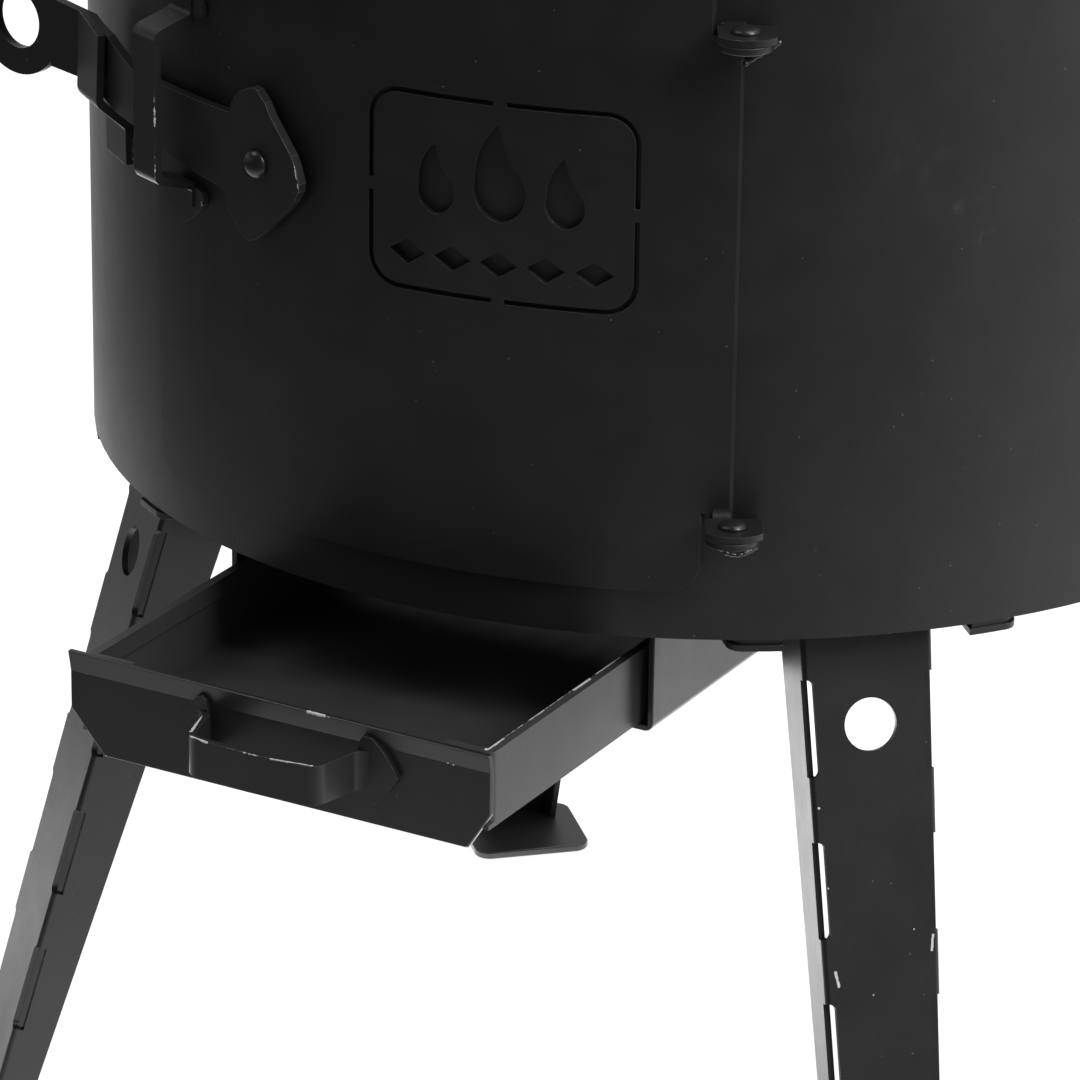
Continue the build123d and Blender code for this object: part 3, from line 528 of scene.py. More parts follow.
# Painted light on the tray's floor: lighter pools where light falls through the grate above
tray_painted_light = marks(
    in_tray,
    ((-0.034, -0.160), 0.024, 0.62),
    ((-0.051, -0.185), 0.020, 0.50),
    ((0.016, -0.167), 0.022, 0.42),
)
front_chips = marks(
    on_front,
    ((0.0110, 0.0086), (0.0162, 0.0087), 0.0021, 0.95),
    ((0.0175, 0.0089), (0.0210, 0.0089), 0.0012, 0.72),
    ((0.0576, 0.0148, 0.0012), 0.0011, 0.80),
    ((0.0595, 0.0150, 0.0012), 0.0010, 0.80),
    ((0.0640, 0.0402, 0.0014), 0.0016, 0.75),
    ((-0.0610, 0.0402, 0.0014), 0.0012, 0.70),
)
handle_chips = marks(
    on_grip,
    ((-0.0235, -0.2700), (-0.0200, -0.2810), 0.0014, 0.86),
    ((-0.0200, -0.2835), (-0.0120, -0.2850), 0.0014, 0.82),
    ((-0.0120, -0.2855), (0.0100, -0.2857), 0.0010, 0.66),
    ((0.0100, -0.2855), (0.0230, -0.2835), 0.0013, 0.74),
)
# Bare steel on the guide: worn chips, and at the upper foot's right edge a painted highlight
guide_chips_and_highlight = marks(
    on_guide,
    ((0.1468,), (0.1372,), 0.0012, 0.64),
    ((0.1420,), (0.1385,), 0.0018, 0.72),
    ((0.1280,), (0.1210,), 0.0011, 0.64),
    ((0.1135, 0.2050, 0.0085), (0.1100, 0.2046, 0.0108), 0.0011, 0.70),
    ((0.1686, 0.2080, 0.0062), (0.1696, 0.2060, 0.0085), 0.0011, 0.66),
)
# Bare steel along the right edge of the lever's head: partly worn chips, partly painted highlight on its lit edge
lever_chips_and_highlight = marks(
    on_lever,
    ((0.1528, 0.0050), (0.1440, 0.0128), 0.0012, 0.78),
    ((0.1420, 0.0140), (0.1270, 0.0175), 0.0011, 0.70),
)
leg_chips = marks(
    on_right_leg,
    ((-0.0174, 0.0572), 0.0012, 0.86),
    ((-0.0157, 0.0820), 0.0009, 0.84),
    ((-0.0147, 0.1078), (-0.0138, 0.1122), 0.0011, 0.96),
    ((0.0165, 0.0992), (0.0159, 0.1038), 0.0010, 0.94),
    ((0.0106, 0.0969), 0.0008, 0.86),
    ((-0.0031, 0.1158), 0.0008, 0.86),
)
leg_chips += marks(on_left_leg, ((0.0170, 0.0640), 0.0011, 0.70))
lug_chips = marks(on_lug, ((-1.2, 0.2190, 0.0358), (2.0, 0.2180, 0.0364), 0.0012, 0.56))
wall_rubs = marks(
    on_wall,
    ((51.0, 0.1225), (51.8, 0.1232), 0.0042, 1.00),
    ((48.8, 0.1325), (50.4, 0.1352), 0.0030, 0.55),
    ((13.6, 0.0267), (17.0, 0.0257), 0.0100, 0.90),
    ((8.6, 0.0270), (13.6, 0.0290), 0.0130, 0.45),
    ((45.0, 0.1500), 0.0140, 0.30),
    ((59.6, 0.0785), 0.0012, 1.00),
    ((50.4, 0.0510), 0.0012, 1.00),
    ((56.0, 0.0560), 0.0090, 0.30),
)

# Where the guide's edges show no wear and no painted highlight, because its strap lies on its feet there
guide_calms = marks(
    on_guide,
    ((0.1140, 0.2045, -0.0030), (0.1080, 0.2045, 0.0010), 0.0100, 2.5),
    ((0.1760, 0.2045, 0.0), 0.0100, 2.5),
)

coat = powder_coat("powder_coat")
coat_wall = powder_coat("powder_coat_wall", rubs=wall_rubs)
# The door's rounded edges take the full lighter edge grey as painted highlight
coat_door = powder_coat("powder_coat_door", colour=0.0115, edge_wear_and_highlight=1.0, edge_wear_and_highlight_grey=rubbed_and_highlight_grey)
# Darker, duller coat of the firebox inside; the feet get it too, as painted shade
coat_inside_and_foot_shade = powder_coat("powder_coat_inside_and_foot_shade", colour=0.0100, roughness=0.50, stray=0.2)
# The tray's coat is lighter than the rest: painted fill light in the tray's shade
coat_tray = powder_coat("powder_coat_tray", colour=0.0320, roughness=0.44, edge_wear_and_highlight=0.9,
                        chips=tray_chips, painted_light=tray_painted_light)
coat_front = powder_coat("powder_coat_front", edge_wear_and_highlight=0.6, chips=front_chips)
coat_handle = powder_coat("powder_coat_handle", edge_wear_and_highlight=1.0, edge_wear_and_highlight_grey=rubbed_and_highlight_grey, chips=handle_chips)
coat_leg = powder_coat("powder_coat_leg", chips=leg_chips)
coat_lug = powder_coat("powder_coat_lug", edge_wear_and_highlight=0.8, chips=lug_chips)
coat_guide = powder_coat("powder_coat_guide", roughness=0.42, grain=0.13, coarse=0.4, edge_wear_and_highlight=0.6,
                         chips=guide_chips_and_highlight, calms=guide_calms)
coat_lever = powder_coat("powder_coat_lever", roughness=0.42, grain=0.11, coarse=0.55, edge_wear_and_highlight=1.0,
                         edge_wear_and_highlight_grey=rubbed_and_highlight_grey, chips=lever_chips_and_highlight)
coat_weld = powder_coat("powder_coat_weld", colour=0.020, roughness=0.34, grain=0.16, edge_wear_and_highlight=0.0,
                        stray=0.0)
coat_rivet = powder_coat("powder_coat_rivet", roughness=0.33, grain=0.05, stray=0.0)
iron = cast_iron("cast_iron")
zinc = zinc_plate("zinc_plate")


# Mesh helpers. The sharp angles say from which bend, in degrees, an edge is shaded sharp
rivet_sharp_angle = 38.0
bead_sharp_angle = 80.0
thread_sharp_angle = 60.0
bend_sharp_angle = 50.0


def show(name, mesh, body):
    """Bring a finished mesh into the scene as a piece of the object."""
    piece = bpy.data.objects.new(name, mesh)
    bpy.context.scene.collection.objects.link(piece)
    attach(piece, body)
    return piece


def put(name, bm, material, body, sharp_angle):
    """Turn a bmesh into a piece of the object."""
    bmesh.ops.recalc_face_normals(bm, faces=bm.faces)
    mesh = bpy.data.meshes.new(name)
    bm.to_mesh(mesh)
    bm.free()
    mesh.materials.append(material)
    mesh.shade_smooth()
    mesh.set_sharp_from_angle(angle=radians(sharp_angle))
    return show(name, mesh, body)


def bridge(bm, one, two):
    """Faces between two rings with as many points each."""
    for side, corner in enumerate(one):
        following = (side + 1) % len(one)
        bm.faces.new((corner, one[following], two[following], two[side]))


# CAD pieces with rounded edges. A likeness is the cosine of the angle between two normals, and the
# strap's ends are heights from the wall's lower edge
crease_angle = 10.0
flat_angle = 0.6
same_point = 0.000001
bevel_segments = 2
round_spread = 0.0003
round_likeness = 0.9975
soft_likeness = 0.3
rolled_nodes = ("body_shell", "door_panel", "door_liner", "latch_lever")
strap_half = 0.0058
strap_slack = 0.00003
strap_end_low = 0.1085
strap_end_high = 0.1142


def corner_normals(mesh, rolled):
    """Normals that keep flat faces flat, rounded edges soft and the rolled wall evenly round."""
    around = [[] for _ in mesh.vertices]
    for polygon in mesh.polygons:
        for vertex in polygon.vertices:
            around[vertex].append(polygon.index)
    plain = [polygon.material_index == 0 for polygon in mesh.polygons]
    normals = [polygon.normal.copy() for polygon in mesh.polygons]
    areas = [polygon.area for polygon in mesh.polygons]
    points = [vertex.co.copy() for vertex in mesh.vertices]
    flat_likeness = cos(radians(crease_angle))

    def is_rolled(polygon):
        radii = [points[vertex].xy.length for vertex in polygon.vertices]
        radial = Vector((polygon.center.x, polygon.center.y, 0)).normalized()
        even = max(radii) - min(radii) < round_spread
        return even and abs(radial.dot(polygon.normal)) > round_likeness

    wall_like = [rolled and plain[polygon.index] and is_rolled(polygon) for polygon in mesh.polygons]

    def plain_corner(face, vertex):
        if wall_like[face]:
            radial = Vector((points[vertex].x, points[vertex].y, 0)).normalized()
            return radial if radial.dot(normals[face]) > 0 else -radial
        total = Vector()
        for other in around[vertex]:
            if plain[other] and normals[other].dot(normals[face]) > flat_likeness:
                total += normals[other] * areas[other]
        return total.normalized()

    def corner(face, vertex):
        if plain[face]:
            return plain_corner(face, vertex)
        beside = [other for other in around[vertex] if plain[other]]
        if beside:
            return plain_corner(max(beside, key=lambda other: normals[other].dot(normals[face])), vertex)
        total = Vector()
        for other in around[vertex]:
            if normals[other].dot(normals[face]) > soft_likeness:
                total += normals[other]
        return total.normalized()

    result = [corner(polygon.index, vertex) for polygon in mesh.polygons for vertex in polygon.vertices]
    mesh.normals_split_custom_set(result)


def mark_edge_crest(mesh):
    """Note the crest of each rounded edge: points that only rounded faces share."""
    plain = [False] * len(mesh.vertices)
    for polygon in mesh.polygons:
        if polygon.material_index == 0:
            for vertex in polygon.vertices:
                plain[vertex] = True
    edge_crest = mesh.attributes.new("edge_crest", "FLOAT", "POINT")
    edge_crest.data.foreach_set("value", [0.0 if flat else 1.0 for flat in plain])
    mesh.polygons.foreach_set("material_index", [0] * len(mesh.polygons))


def strap_ends(bm):
    """Points at the two flat ends of the guide's strap, where it lies on its feet."""
    found = set()
    for vertex in bm.verts:
        reach = vertex.co.dot(outward(guide_azimuth))
        across = abs(vertex.co.dot(sideways(guide_azimuth)))
        height = vertex.co.z - wall_low
        height = min(height, 2 * guide_middle - height)
        outside = reach > guide_foot_face - strap_slack
        if outside and across < strap_half and strap_end_low < height < strap_end_high:
            found.add(vertex)
    return found


def round_edges(node, material, width):
    """The node's own form with its outer edges rounded, as a coat of powder leaves them."""
    bm = bmesh.new()
    bm.from_mesh(nodes[node].data)
    bmesh.ops.remove_doubles(bm, verts=bm.verts, dist=same_point)
    bmesh.ops.dissolve_limit(bm, angle_limit=radians(flat_angle), verts=bm.verts, edges=bm.edges)
    flat_ends = strap_ends(bm) if node == "latch_guide" else set()
    bm.normal_update()
    weight = bm.edges.layers.float.new("bevel_weight_edge")
    for edge in bm.edges:
        if flat_ends.issuperset(edge.verts):
            continue
        if len(edge.link_faces) == 2 and edge.calc_face_angle() > radians(crease_angle) and edge.is_convex:
            edge[weight] = 1.0
    for face in bm.faces:
        face.smooth = True
        face.material_index = 0
    mesh = bpy.data.meshes.new(node + "_draft")
    bm.to_mesh(mesh)
    bm.free()
    mesh.materials.append(material)
    mesh.materials.append(material)
    draft = bpy.data.objects.new(node + "_draft", mesh)
    bpy.context.scene.collection.objects.link(draft)
    bevel = draft.modifiers.new("bevel", "BEVEL")
    bevel.width = width
    bevel.segments = bevel_segments
    bevel.limit_method = "WEIGHT"
    bevel.use_clamp_overlap = True
    bevel.material = 1
    bpy.context.view_layer.update()
    finished = bpy.data.meshes.new_from_object(draft.evaluated_get(bpy.context.evaluated_depsgraph_get()))
    bpy.data.objects.remove(draft)
    finished.name = node + "_rounded"
    corner_normals(finished, node in rolled_nodes)
    mark_edge_crest(finished)
    finished.materials.clear()
    finished.materials.append(material)
    piece = show(node + "_rounded", finished, body_of_node[node])
    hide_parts(node)


# Widths of the rounded edges, and the nodes that get them
thin_edge = 0.0003
door_edge = 0.0004
sheet_edge = 0.00045
plate_edge = 0.0005
strap_edge = 0.0006
ring_edge = 0.0007
foot_edge = 0.0008
cast_edge = 0.0010
rounded = {
    "body_shell": (coat_wall, sheet_edge),
    "seat_ring": (coat, ring_edge),
    "bottom_plate": (coat_inside_and_foot_shade, sheet_edge),
    "hinge_lug_lower": (coat_lug, plate_edge),
    "hinge_lug_upper": (coat_lug, plate_edge),
    "latch_catch": (coat_guide, plate_edge),
    "drawer_rail_left": (coat, sheet_edge),
    "drawer_rail_right": (coat, sheet_edge),
    "drawer_stop": (coat, sheet_edge),
    "fire_grate": (iron, cast_edge),
    "door_panel": (coat_door, door_edge),
    "door_liner": (coat_inside_and_foot_shade, sheet_edge),
    "latch_washer": (coat, thin_edge),
    "latch_guide": (coat_guide, strap_edge),
    "latch_lever": (coat_lever, strap_edge),
    "ash_tray": (coat_tray, door_edge),
    "drawer_front": (coat_front, plate_edge),
    "drawer_handle": (coat_handle, plate_edge),
    "wing_nuts": (zinc, strap_edge),
}
leg_azimuths = {
    "front_left": -leg_azimuth,
    "front_right": leg_azimuth,
    "rear_right": 180 - leg_azimuth,
    "rear_left": leg_azimuth - 180,
}
# The feet take the darker inside coat as painted shade, for they stand in shadow
for leg_name in leg_azimuths:
    rounded["leg_" + leg_name] = (coat_leg, sheet_edge)
    rounded["foot_" + leg_name] = (coat_inside_and_foot_shade, foot_edge)
    rounded["leg_socket_" + leg_name] = (coat, sheet_edge)
for node_name, (material, width) in rounded.items():
    round_edges(node_name, material, width)

# CAD pieces that are round already
for node_name in ("side_handle_left", "side_handle_right"):
    nodes[node_name].data.materials.clear()
    nodes[node_name].data.materials.append(coat)


# Rivets with domed heads, upset tails and a fine joint line under each head
dome_steps = 9
lathe_sides = 40
rim_height = 0.0002
hinge_rivet = {"pin": 0.0025, "head": 0.0042, "head_height": 0.0018, "tail": 0.00375, "tail_height": 0.0018}
latch_rivet = {"pin": 0.0030, "head": 0.0043, "head_height": 0.0026, "tail": 0.0047, "tail_height": 0.0026}


def dome(radius, height, foot, way):
    """Half profile of a domed head, from its rim to its crown."""
    points = []
    for step in range(dome_steps):
        a = pi / 2 * step / dome_steps
        points.append((radius * cos(a), foot + way * (rim_height + height * sin(a))))
    return points + [(0.0, foot + way * (rim_height + height))]


def lathe(profile, origin, axis):
    """Body of revolution: radii and heights along an axis."""
    across = axis.orthogonal().normalized()
    other = axis.cross(across)
    turns = [2 * pi * side / lathe_sides for side in range(lathe_sides)]
    bm = bmesh.new()
    rings = []
    for radius, height in profile:
        centre = origin + axis * height
        if radius == 0:
            rings.append([bm.verts.new(centre)])
        else:
            rings.append([bm.verts.new(centre + (across * cos(a) + other * sin(a)) * radius) for a in turns])
    for one, two in zip(rings[:-1], rings[1:]):
        for side in range(lathe_sides):
            following = (side + 1) % lathe_sides
            corners = []
            for ring, index in ((one, side), (one, following), (two, following), (two, side)):
                corner = ring[index % len(ring)]
                if corner not in corners:
                    corners.append(corner)
            bm.faces.new(corners)
    return bm


def rivet(name, node, origin, axis, form, low, high):
    """Whole rivet between two heights along its axis."""
    grip_low = low + form["tail_height"]
    grip_high = high - form["head_height"]
    upper = [(form["head"], grip_high)]
    upper += dome(form["head"], form["head_height"] - rim_height, grip_high, 1)
    lower = [(form["tail"], grip_low)]
    lower += dome(form["tail"], form["tail_height"] - rim_height, grip_low, -1)
    profile = lower[::-1] + [(form["pin"], grip_low), (form["pin"], grip_high)] + upper
    bm = lathe(profile, origin, axis)
    piece = put(name, bm, coat_rivet, body_of_node[node], rivet_sharp_angle)
    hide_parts(node)


for side_name in ("lower", "upper"):
    rivet_node = "hinge_rivet_" + side_name
    low, high = (corner.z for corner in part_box(rivet_node))
    rivet_foot = Vector((hinge_pin.x, hinge_pin.y, 0))
    rivet("hinge_rivet_domed_" + side_name, rivet_node, rivet_foot, Vector((0, 0, 1)), hinge_rivet, low, high)
latch_out = outward(latch_azimuth)
latch_reach = [latch_out.dot(vertex.co) for vertex in nodes["latch_rivet"].data.vertices]
rivet("latch_rivet_domed", "latch_rivet", Vector((0, 0, latch_pin.z)), latch_out, latch_rivet,
      min(latch_reach), max(latch_reach))


# Threaded studs
stud_radius = 0.0040
thread_pitch = 0.00125
thread_depth = 0.0006
thread_sides = 28
rings_per_pitch = 7


def thread(bm, origin, length):
    """Upright rod with a single-start thread."""
    rings = []
    count = int(length / thread_pitch * rings_per_pitch)
    for ring_index in range(count + 1):
        height = length * ring_index / count
        end_taper = min(1.0, min(height, length - height) / (thread_pitch * 0.5))
        ring = []
        for side in range(thread_sides):
            turn_share = side / thread_sides
            wave = 0.5 - 0.5 * cos(2 * pi * (height / thread_pitch - turn_share))
            radius = stud_radius - thread_depth * max(wave, 1.0 - end_taper)
            a = 2 * pi * turn_share
            ring.append(bm.verts.new(origin + Vector((cos(a) * radius, sin(a) * radius, height))))
        rings.append(ring)
    for one, two in zip(rings[:-1], rings[1:]):
        bridge(bm, one, two)
    bm.faces.new(list(reversed(rings[0])))
    bm.faces.new(rings[-1])


stud_low, stud_high = (corner.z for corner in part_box("leg_studs"))
stud_place = leg_top_radius - stud_inset
stud_mesh = bmesh.new()
for azimuth in leg_azimuths.values():
    thread(stud_mesh, outward(azimuth) * stud_place + Vector((0, 0, stud_low)), stud_high - stud_low)
studs = put("leg_studs_threaded", stud_mesh, zinc, "stove_body", thread_sharp_angle)
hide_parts("leg_studs")


# Welds. A bead's radius swells with each scale and sinks within a few steps of its ends
bead_sides = 10
bead_step = 0.28
bead_low = 0.80
bead_swell = 0.24
bead_uneven = 0.18
bead_uneven_scale = 260.0
bead_jitter = 0.03
bead_end_steps = 4.0
bead_end_start = 0.35
bead_end_low = 0.15


def bead(name, points, radius, seed, ripple=0.0016, closed=False, material=coat_weld):
    """Weld bead along a path: overlapping scales, uneven width, ends that run out."""
    rng = random.Random(seed)
    samples = []
    step = radius * bead_step
    loop = points + points[:1] if closed else points
    for start, end in zip(loop[:-1], loop[1:]):
        count = max(1, int((end - start).length / step))
        samples += [start.lerp(end, k / count) for k in range(count)]
    if not closed:
        samples.append(loop[-1])
    bm = bmesh.new()
    rings = []
    last = len(samples) - 1
    travelled = 0.0
    for index, centre in enumerate(samples):
        before = samples[index - 1] if index or closed else centre
        after = samples[(index + 1) % len(samples)] if index < last or closed else centre
        along = (after - before).normalized()
        across = along.orthogonal().normalized()
        other = along.cross(across)
        travelled += step
        scale_wave = abs(sin(pi * travelled / ripple * 0.5))
        steps_to_end = min(index, last - index) + bead_end_start
        end_share = 1.0 if closed else min(1.0, steps_to_end / bead_end_steps)
        uneven = 1.0 + bead_uneven * noise.noise(centre * bead_uneven_scale + Vector((seed, 0, 0)))
        size = radius * (bead_low + bead_swell * scale_wave) * uneven * max(bead_end_low, end_share) ** 0.5
        ring = []
        for side in range(bead_sides):
            a = 2 * pi * side / bead_sides
            jitter = 1.0 + rng.uniform(-bead_jitter, bead_jitter)
            ring.append(bm.verts.new(centre + (across * cos(a) + other * sin(a)) * size * jitter))
        rings.append(ring)
    for one, two in zip(rings[:-1], rings[1:]):
        bridge(bm, one, two)
    if closed:
        bridge(bm, rings[-1], rings[0])
    else:
        bm.faces.new(rings[0])
        bm.faces.new(list(reversed(rings[-1])))
    put(name, bm, material, "stove_body", bead_sharp_angle)


def arc_places(start, end, radius, height, count):
    """Points on a level arc of the wall."""
    return [place(start + (end - start) * k / count, radius, height) for k in range(count + 1)]


# Slanting bead under the upper hinge lug: azimuths, heights and how far it stands off the wall
upper_weld = [(30.1, 0.1792), (30.5, 0.1800), (31.0, 0.1811), (31.7, 0.1826), (32.4, 0.1842), (33.2, 0.1862)]
upper_weld_end = [(30.05, 0.0004, 0.1788), (30.55, 0.0006, 0.1803)]
upper_weld_out = 0.0004
upper_weld_points = [place(azimuth, wall_radius + upper_weld_out, height) for azimuth, height in upper_weld]
bead("hinge_weld_upper", upper_weld_points, radius=0.0009, seed=12, ripple=0.0011)
upper_end_points = [place(azimuth, wall_radius + out, height) for azimuth, out, height in upper_weld_end]
bead("hinge_weld_upper_end", upper_end_points, radius=0.0013, seed=13, ripple=0.0012)

# Ragged burr under the front edge of the lower hinge lug
lug_rim = 0.0080
lug_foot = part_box("hinge_lug_lower")[0].z - wall_low
burr_start = -22.0
burr_turn = 7.5
burr_count = 13
burr_lift = 0.0005
burr_sag = 0.0004
burr_drip = 0.0009
drip_place = 4.0
drip_spread = 3.0
burr = []
for share in range(burr_count):
    direction = hinge_azimuth + burr_start + share * burr_turn
    sag = burr_sag + burr_drip * exp(-((share - drip_place) / drip_spread) ** 2)
    middle = Vector((hinge_pin.x, hinge_pin.y, wall_low + lug_foot - sag + burr_lift))
    burr.append(middle + outward(direction) * lug_rim)
bead("hinge_lug_burr", burr, radius=0.00075, seed=14, ripple=0.0010, material=coat_lug)

# Hinge lugs, welded to the wall along their undersides
lug_weld_start = hinge_azimuth + 0.5
lug_weld_end = hinge_azimuth + 2.2
lug_weld_radius = wall_radius + 0.0003
lug_weld_drop = 0.0004
lug_weld_steps = 4
for seed, side_name in enumerate(("lower", "upper"), 21):
    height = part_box("hinge_lug_" + side_name)[0].z - wall_low - lug_weld_drop
    line = arc_places(lug_weld_start, lug_weld_end, lug_weld_radius, height, lug_weld_steps)
    bead("hinge_lug_weld_" + side_name, line, radius=0.0014, seed=seed)

# Catch foot, welded down both sides
catch_weld_heights = (0.1098, 0.1140, 0.1182)
catch_weld_out = 0.0003
for number, sign in enumerate((-1, 1), 1):
    across = sign * (catch_half + catch_weld_out)
    line = [place(catch_azimuth, catch_foot_radius, height, across) for height in catch_weld_heights]
    bead("catch_weld_%d" % number, line, radius=0.0011, seed=30 + number)

# Roots of the side handles
root_spread = 1.02
root_points = 16
for pair, (side_name, handle_azimuth) in enumerate((("left", -90.0), ("right", 90.0))):
    handle_low, handle_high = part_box("side_handle_" + side_name)
    bar_radius = (handle_high.z - handle_low.z) / 2
    bar_height = (handle_high.z + handle_low.z) / 2 - wall_low
    for number, sign in enumerate((-1, 1), 1):
        ring = []
        for share in range(root_points):
            a = 2 * pi * share / root_points
            across = sign * handle_root + bar_radius * root_spread * cos(a)
            out = (wall_radius ** 2 - across ** 2) ** 0.5
            ring.append(place(handle_azimuth, out, bar_height + bar_radius * root_spread * sin(a), across))
        seed = 40 + 2 * pair + number
        bead("side_handle_weld_%s_%d" % (side_name, number), ring, radius=0.0012, seed=seed, closed=True)

# Stitches between the rails and the floor plate
rail_low, rail_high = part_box("drawer_rail_right")
rail_weld_x = rail_high.x + 0.0002
rail_weld_z = wall_low - 0.0004
stitch_shifts = (-0.009, 0, 0.009)
stitch_count = 4
stitch_first = 0.55
stitch_spaces = 4.2
for pair, (side_name, sign) in enumerate((("left", -1), ("right", 1))):
    for stitch in range(stitch_count):
        middle = rail_low.y + (rail_high.y - rail_low.y) * (stitch + stitch_first) / stitch_spaces
        line = [Vector((sign * rail_weld_x, middle + shift, rail_weld_z)) for shift in stitch_shifts]
        seed = 51 + stitch + stitch_count * pair
        bead("rail_weld_%s_%d" % (side_name, stitch + 1), line, radius=0.0012, seed=seed)

# Seat ring and floor plate, welded to the inside of the wall all round
weld_circle_radius = wall_radius - 0.0024
weld_circle_end = 350.0
weld_circle_steps = 70
ring_weld_height = wall_height - 0.0004
plate_weld_height = 0.0026
circle = arc_places(0.0, weld_circle_end, weld_circle_radius, ring_weld_height, weld_circle_steps)[:-1]
bead("seat_ring_weld", circle, radius=0.0013, seed=61, closed=True)
circle = arc_places(0.0, weld_circle_end, weld_circle_radius, plate_weld_height, weld_circle_steps)[:-1]
bead("bottom_plate_weld", circle, radius=0.0012, seed=62, closed=True)

# Seam of the rolled wall, at the back
seam_azimuth = 180.0
seam_radius = wall_radius - 0.0007
seam_end = 0.003
seam_steps = 60
seam_length = wall_height - 2 * seam_end
seam_heights = [seam_end + seam_length * k / seam_steps for k in range(seam_steps + 1)]
seam = [place(seam_azimuth, seam_radius, height) for height in seam_heights]
bead("wall_seam", seam, radius=0.0014, seed=63, ripple=0.0020)

# Feet, welded round the foot of each leg: places across the leg and inward from its face
foot_weld = ((-0.0146, 0.0095), (-0.0147, 0.0004), (0.0147, 0.0004), (0.0146, 0.0095))
leg_slant = (leg_drop - foot_thickness) / cos(radians(leg_splay))
for seed, (leg_name, azimuth) in enumerate(leg_azimuths.items(), 71):
    line = []
    for across, inward in foot_weld:
        line.append(leg_place(azimuth, across, leg_slant - inward * tan(radians(leg_splay)), inward))
    bead("foot_weld_" + leg_name, line, radius=0.0011, seed=seed)

# Bend in the neck of the lower hinge tab
neck_start = -0.0056
neck_width = 0.0053
neck_root = -0.0006
bend_radius = 0.0026
bend_steps = 8
lower_neck_height = 0.0406


def neck_bend(name, height):
    """Inner radius between the door's edge strip and the tab that is folded off it."""
    origin = Vector((hinge_pin.x, hinge_pin.y, 0)) - outward(hinge_azimuth) * (hinge_radius - door_radius)
    profile = [(neck_root, neck_root), (bend_radius, neck_root)]
    for step in range(bend_steps + 1):
        a = pi / 2 * step / bend_steps
        profile.append((bend_radius * (1 - sin(a)), bend_radius * (1 - cos(a))))
    profile.append((neck_root, bend_radius))
    bm = bmesh.new()
    ends = []
    for across in (neck_start, neck_start + neck_width):
        ring = []
        for out, rise in profile:
            point = origin + sideways(hinge_azimuth) * across + outward(hinge_azimuth) * out
            ring.append(bm.verts.new(point + Vector((0, 0, wall_low + height + rise))))
        ends.append(ring)
    bridge(bm, ends[0], ends[1])
    bm.faces.new(ends[0])
    bm.faces.new(list(reversed(ends[1])))
    put(name, bm, coat_handle, "door", bend_sharp_angle)


neck_bend("hinge_tab_bend_lower", lower_neck_height)

# Stage: a pale floor
floor_half = 9.0
floor_gap = 0.0002
floor_draft = bmesh.new()
bmesh.ops.create_grid(floor_draft, x_segments=1, y_segments=1, size=floor_half)
floor_mesh = bpy.data.meshes.new("floor")
floor_draft.to_mesh(floor_mesh)
floor_draft.free()
floor = bpy.data.objects.new("floor", floor_mesh)
floor.location.z = floor_z - floor_gap
bpy.context.scene.collection.objects.link(floor)

# Studio in reflections: dark in front, bright behind, weak walls at the sides, and on the floor a glow
# round the stove and a bright patch at the left. A span says where each part sets in and is full
glossy_dark = 0.004
glossy_bright = 0.89
ramp_start = -0.72
ramp_end = 0.90
ramp_lean = 0.36
near_glow = 2.35
near_reach = 0.53
patch_azimuth = -108.0
patch_glow = 1.5
patch_aim_span = (0.84, 0.98)
patch_reach_span = (0.86, 0.46)
left_wall = 0.55
left_wall_span = (-0.55, -0.90)
right_wall = 0.12
right_wall_span = (0.45, 0.90)
side_wall_span = (0.40, 0.15)

# Plain light from all round, the floor's grey as it lights the stove, and its look to the camera
plain_light = 0.44
floor_grey = 0.60
seen_grey = 0.22
seen_glow = 0.90


def studio_ramp(n, direction):
    """Brightness of the studio in a level direction: dark on the viewer's side, bright behind."""
    lean = n.math("ADD", n.part(direction, "Y"), n.math("MULTIPLY", n.part(direction, "X"), ramp_lean))
    return n.ramp(lean, ramp_start, ramp_end, glossy_dark, glossy_bright)


n = material_nodes("floor")
paths = n.add("ShaderNodeLightPath").outputs
position = n.add("ShaderNodeNewGeometry").outputs["Position"]
seen = n.add("ShaderNodeAddShader")
n.feed_all(seen.inputs, (n.matt(seen_grey), n.glowing(seen_glow)))
reach = n.vector_math("LENGTH", n.flattened(position)).outputs["Value"]
fall_off = n.math("EXPONENT", n.math("MULTIPLY", n.math("MULTIPLY", reach, reach), -1 / near_reach ** 2))
direction = n.level_direction(position)
patch_side = n.vector_math("DOT_PRODUCT", direction, outward(patch_azimuth)).outputs["Value"]
patch = n.math("MULTIPLY", n.ramp(patch_side, *patch_aim_span), n.ramp(reach, *patch_reach_span))
glow = n.math("ADD", studio_ramp(n, direction), n.math("MULTIPLY", fall_off, near_glow))
glow = n.math("ADD", glow, n.math("MULTIPLY", patch, patch_glow))
by_gloss = n.mix_shader(paths["Is Glossy Ray"], n.matt(floor_grey), n.glowing(glow))
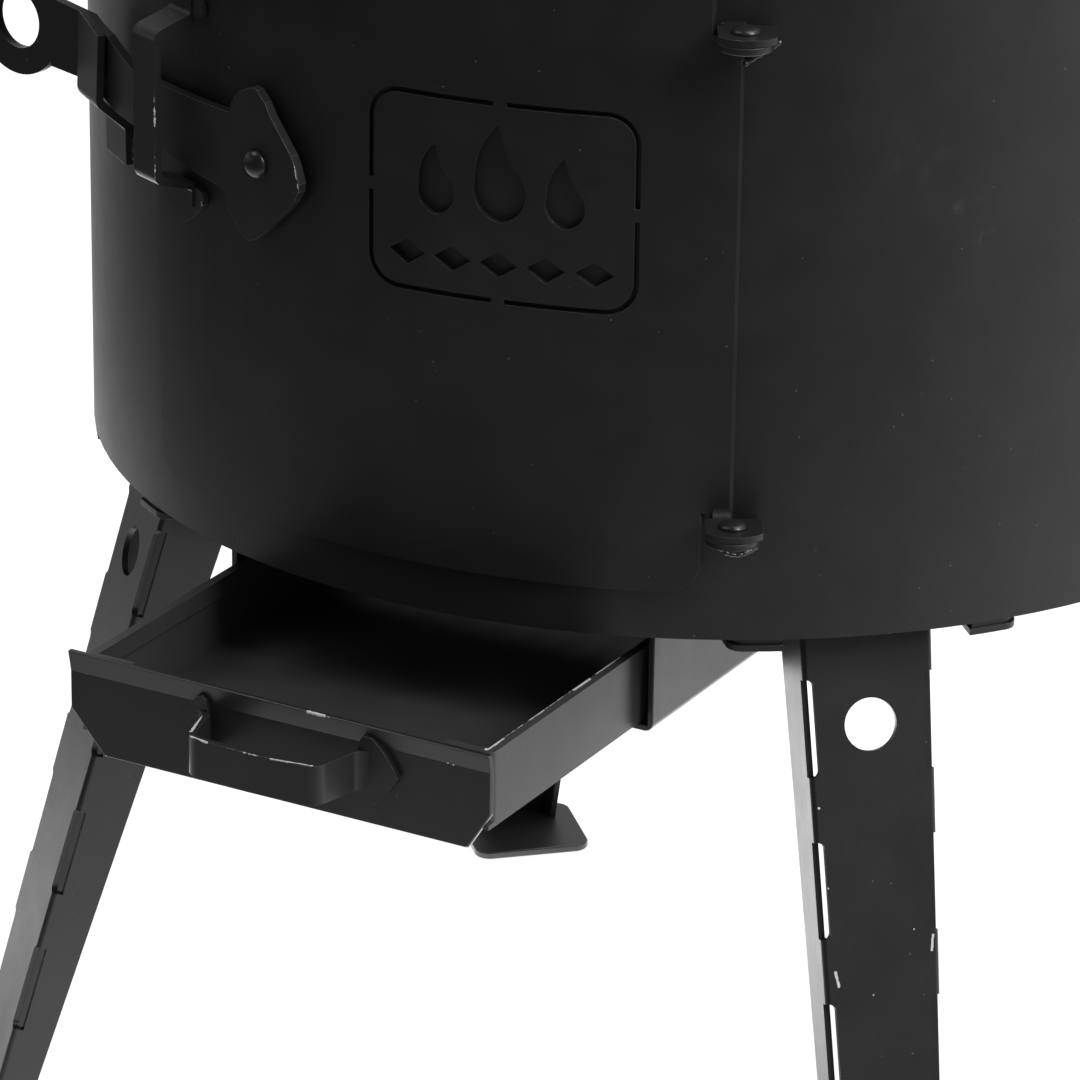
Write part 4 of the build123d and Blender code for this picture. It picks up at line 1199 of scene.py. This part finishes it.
by_camera = n.mix_shader(paths["Is Camera Ray"], by_gloss, seen.outputs[0])
n.feed(n.output.inputs["Surface"], by_camera)
floor_mesh.materials.append(n.holder)

# World: white to the camera, plain grey for light, the studio in reflections
world = bpy.data.worlds.new("studio")
bpy.context.scene.world = world
n = Nodes(world, "ShaderNodeOutputWorld")
paths = n.add("ShaderNodeLightPath").outputs
direction = n.add("ShaderNodeTexCoord").outputs["Generated"]
level = n.level_direction(direction)
sideway = n.part(level, "X")
left_part = n.math("MULTIPLY", n.ramp(sideway, *left_wall_span), left_wall)
right_part = n.math("MULTIPLY", n.ramp(sideway, *right_wall_span), right_wall)
low_part = n.ramp(n.part(direction, "Z"), *side_wall_span)
side_walls = n.math("MULTIPLY", n.math("ADD", left_part, right_part), low_part)
studio = n.math("ADD", studio_ramp(n, level), side_walls)
lit = n.mix_number(paths["Is Glossy Ray"], plain_light, studio)
background = n.add("ShaderNodeBackground")
n.feed(background.inputs["Strength"], n.mix_number(paths["Is Camera Ray"], lit, 1.0))
n.feed(n.output.inputs["Surface"], background.outputs[0])

# Lamps
lamp_aim = 0.6


def soft_box(name, azimuth, elevation, distance, width, height, watts):
    """Area lamp that looks at the axis, a little below the middle of the wall."""
    data = bpy.data.lights.new(name, "AREA")
    data.shape = "RECTANGLE"
    data.size = width
    data.size_y = height
    data.energy = watts
    lamp = bpy.data.objects.new(name, data)
    away = raised(azimuth, elevation)
    target = Vector((0, 0, wall_low * lamp_aim))
    aim = away.to_track_quat("Z", "Y").to_matrix().to_4x4()
    lamp.matrix_world = Matrix.Translation(target + away * distance) @ aim
    bpy.context.scene.collection.objects.link(lamp)


soft_box("key", azimuth=-58.0, elevation=52.0, distance=2.4, width=1.3, height=1.3, watts=11.0)
soft_box("fill", azimuth=82.0, elevation=40.0, distance=2.6, width=1.0, height=1.6, watts=64.0)
soft_box("top", azimuth=160.0, elevation=72.0, distance=2.4, width=1.8, height=1.2, watts=48.0)

bpy.context.scene.view_settings.view_transform = "Standard"
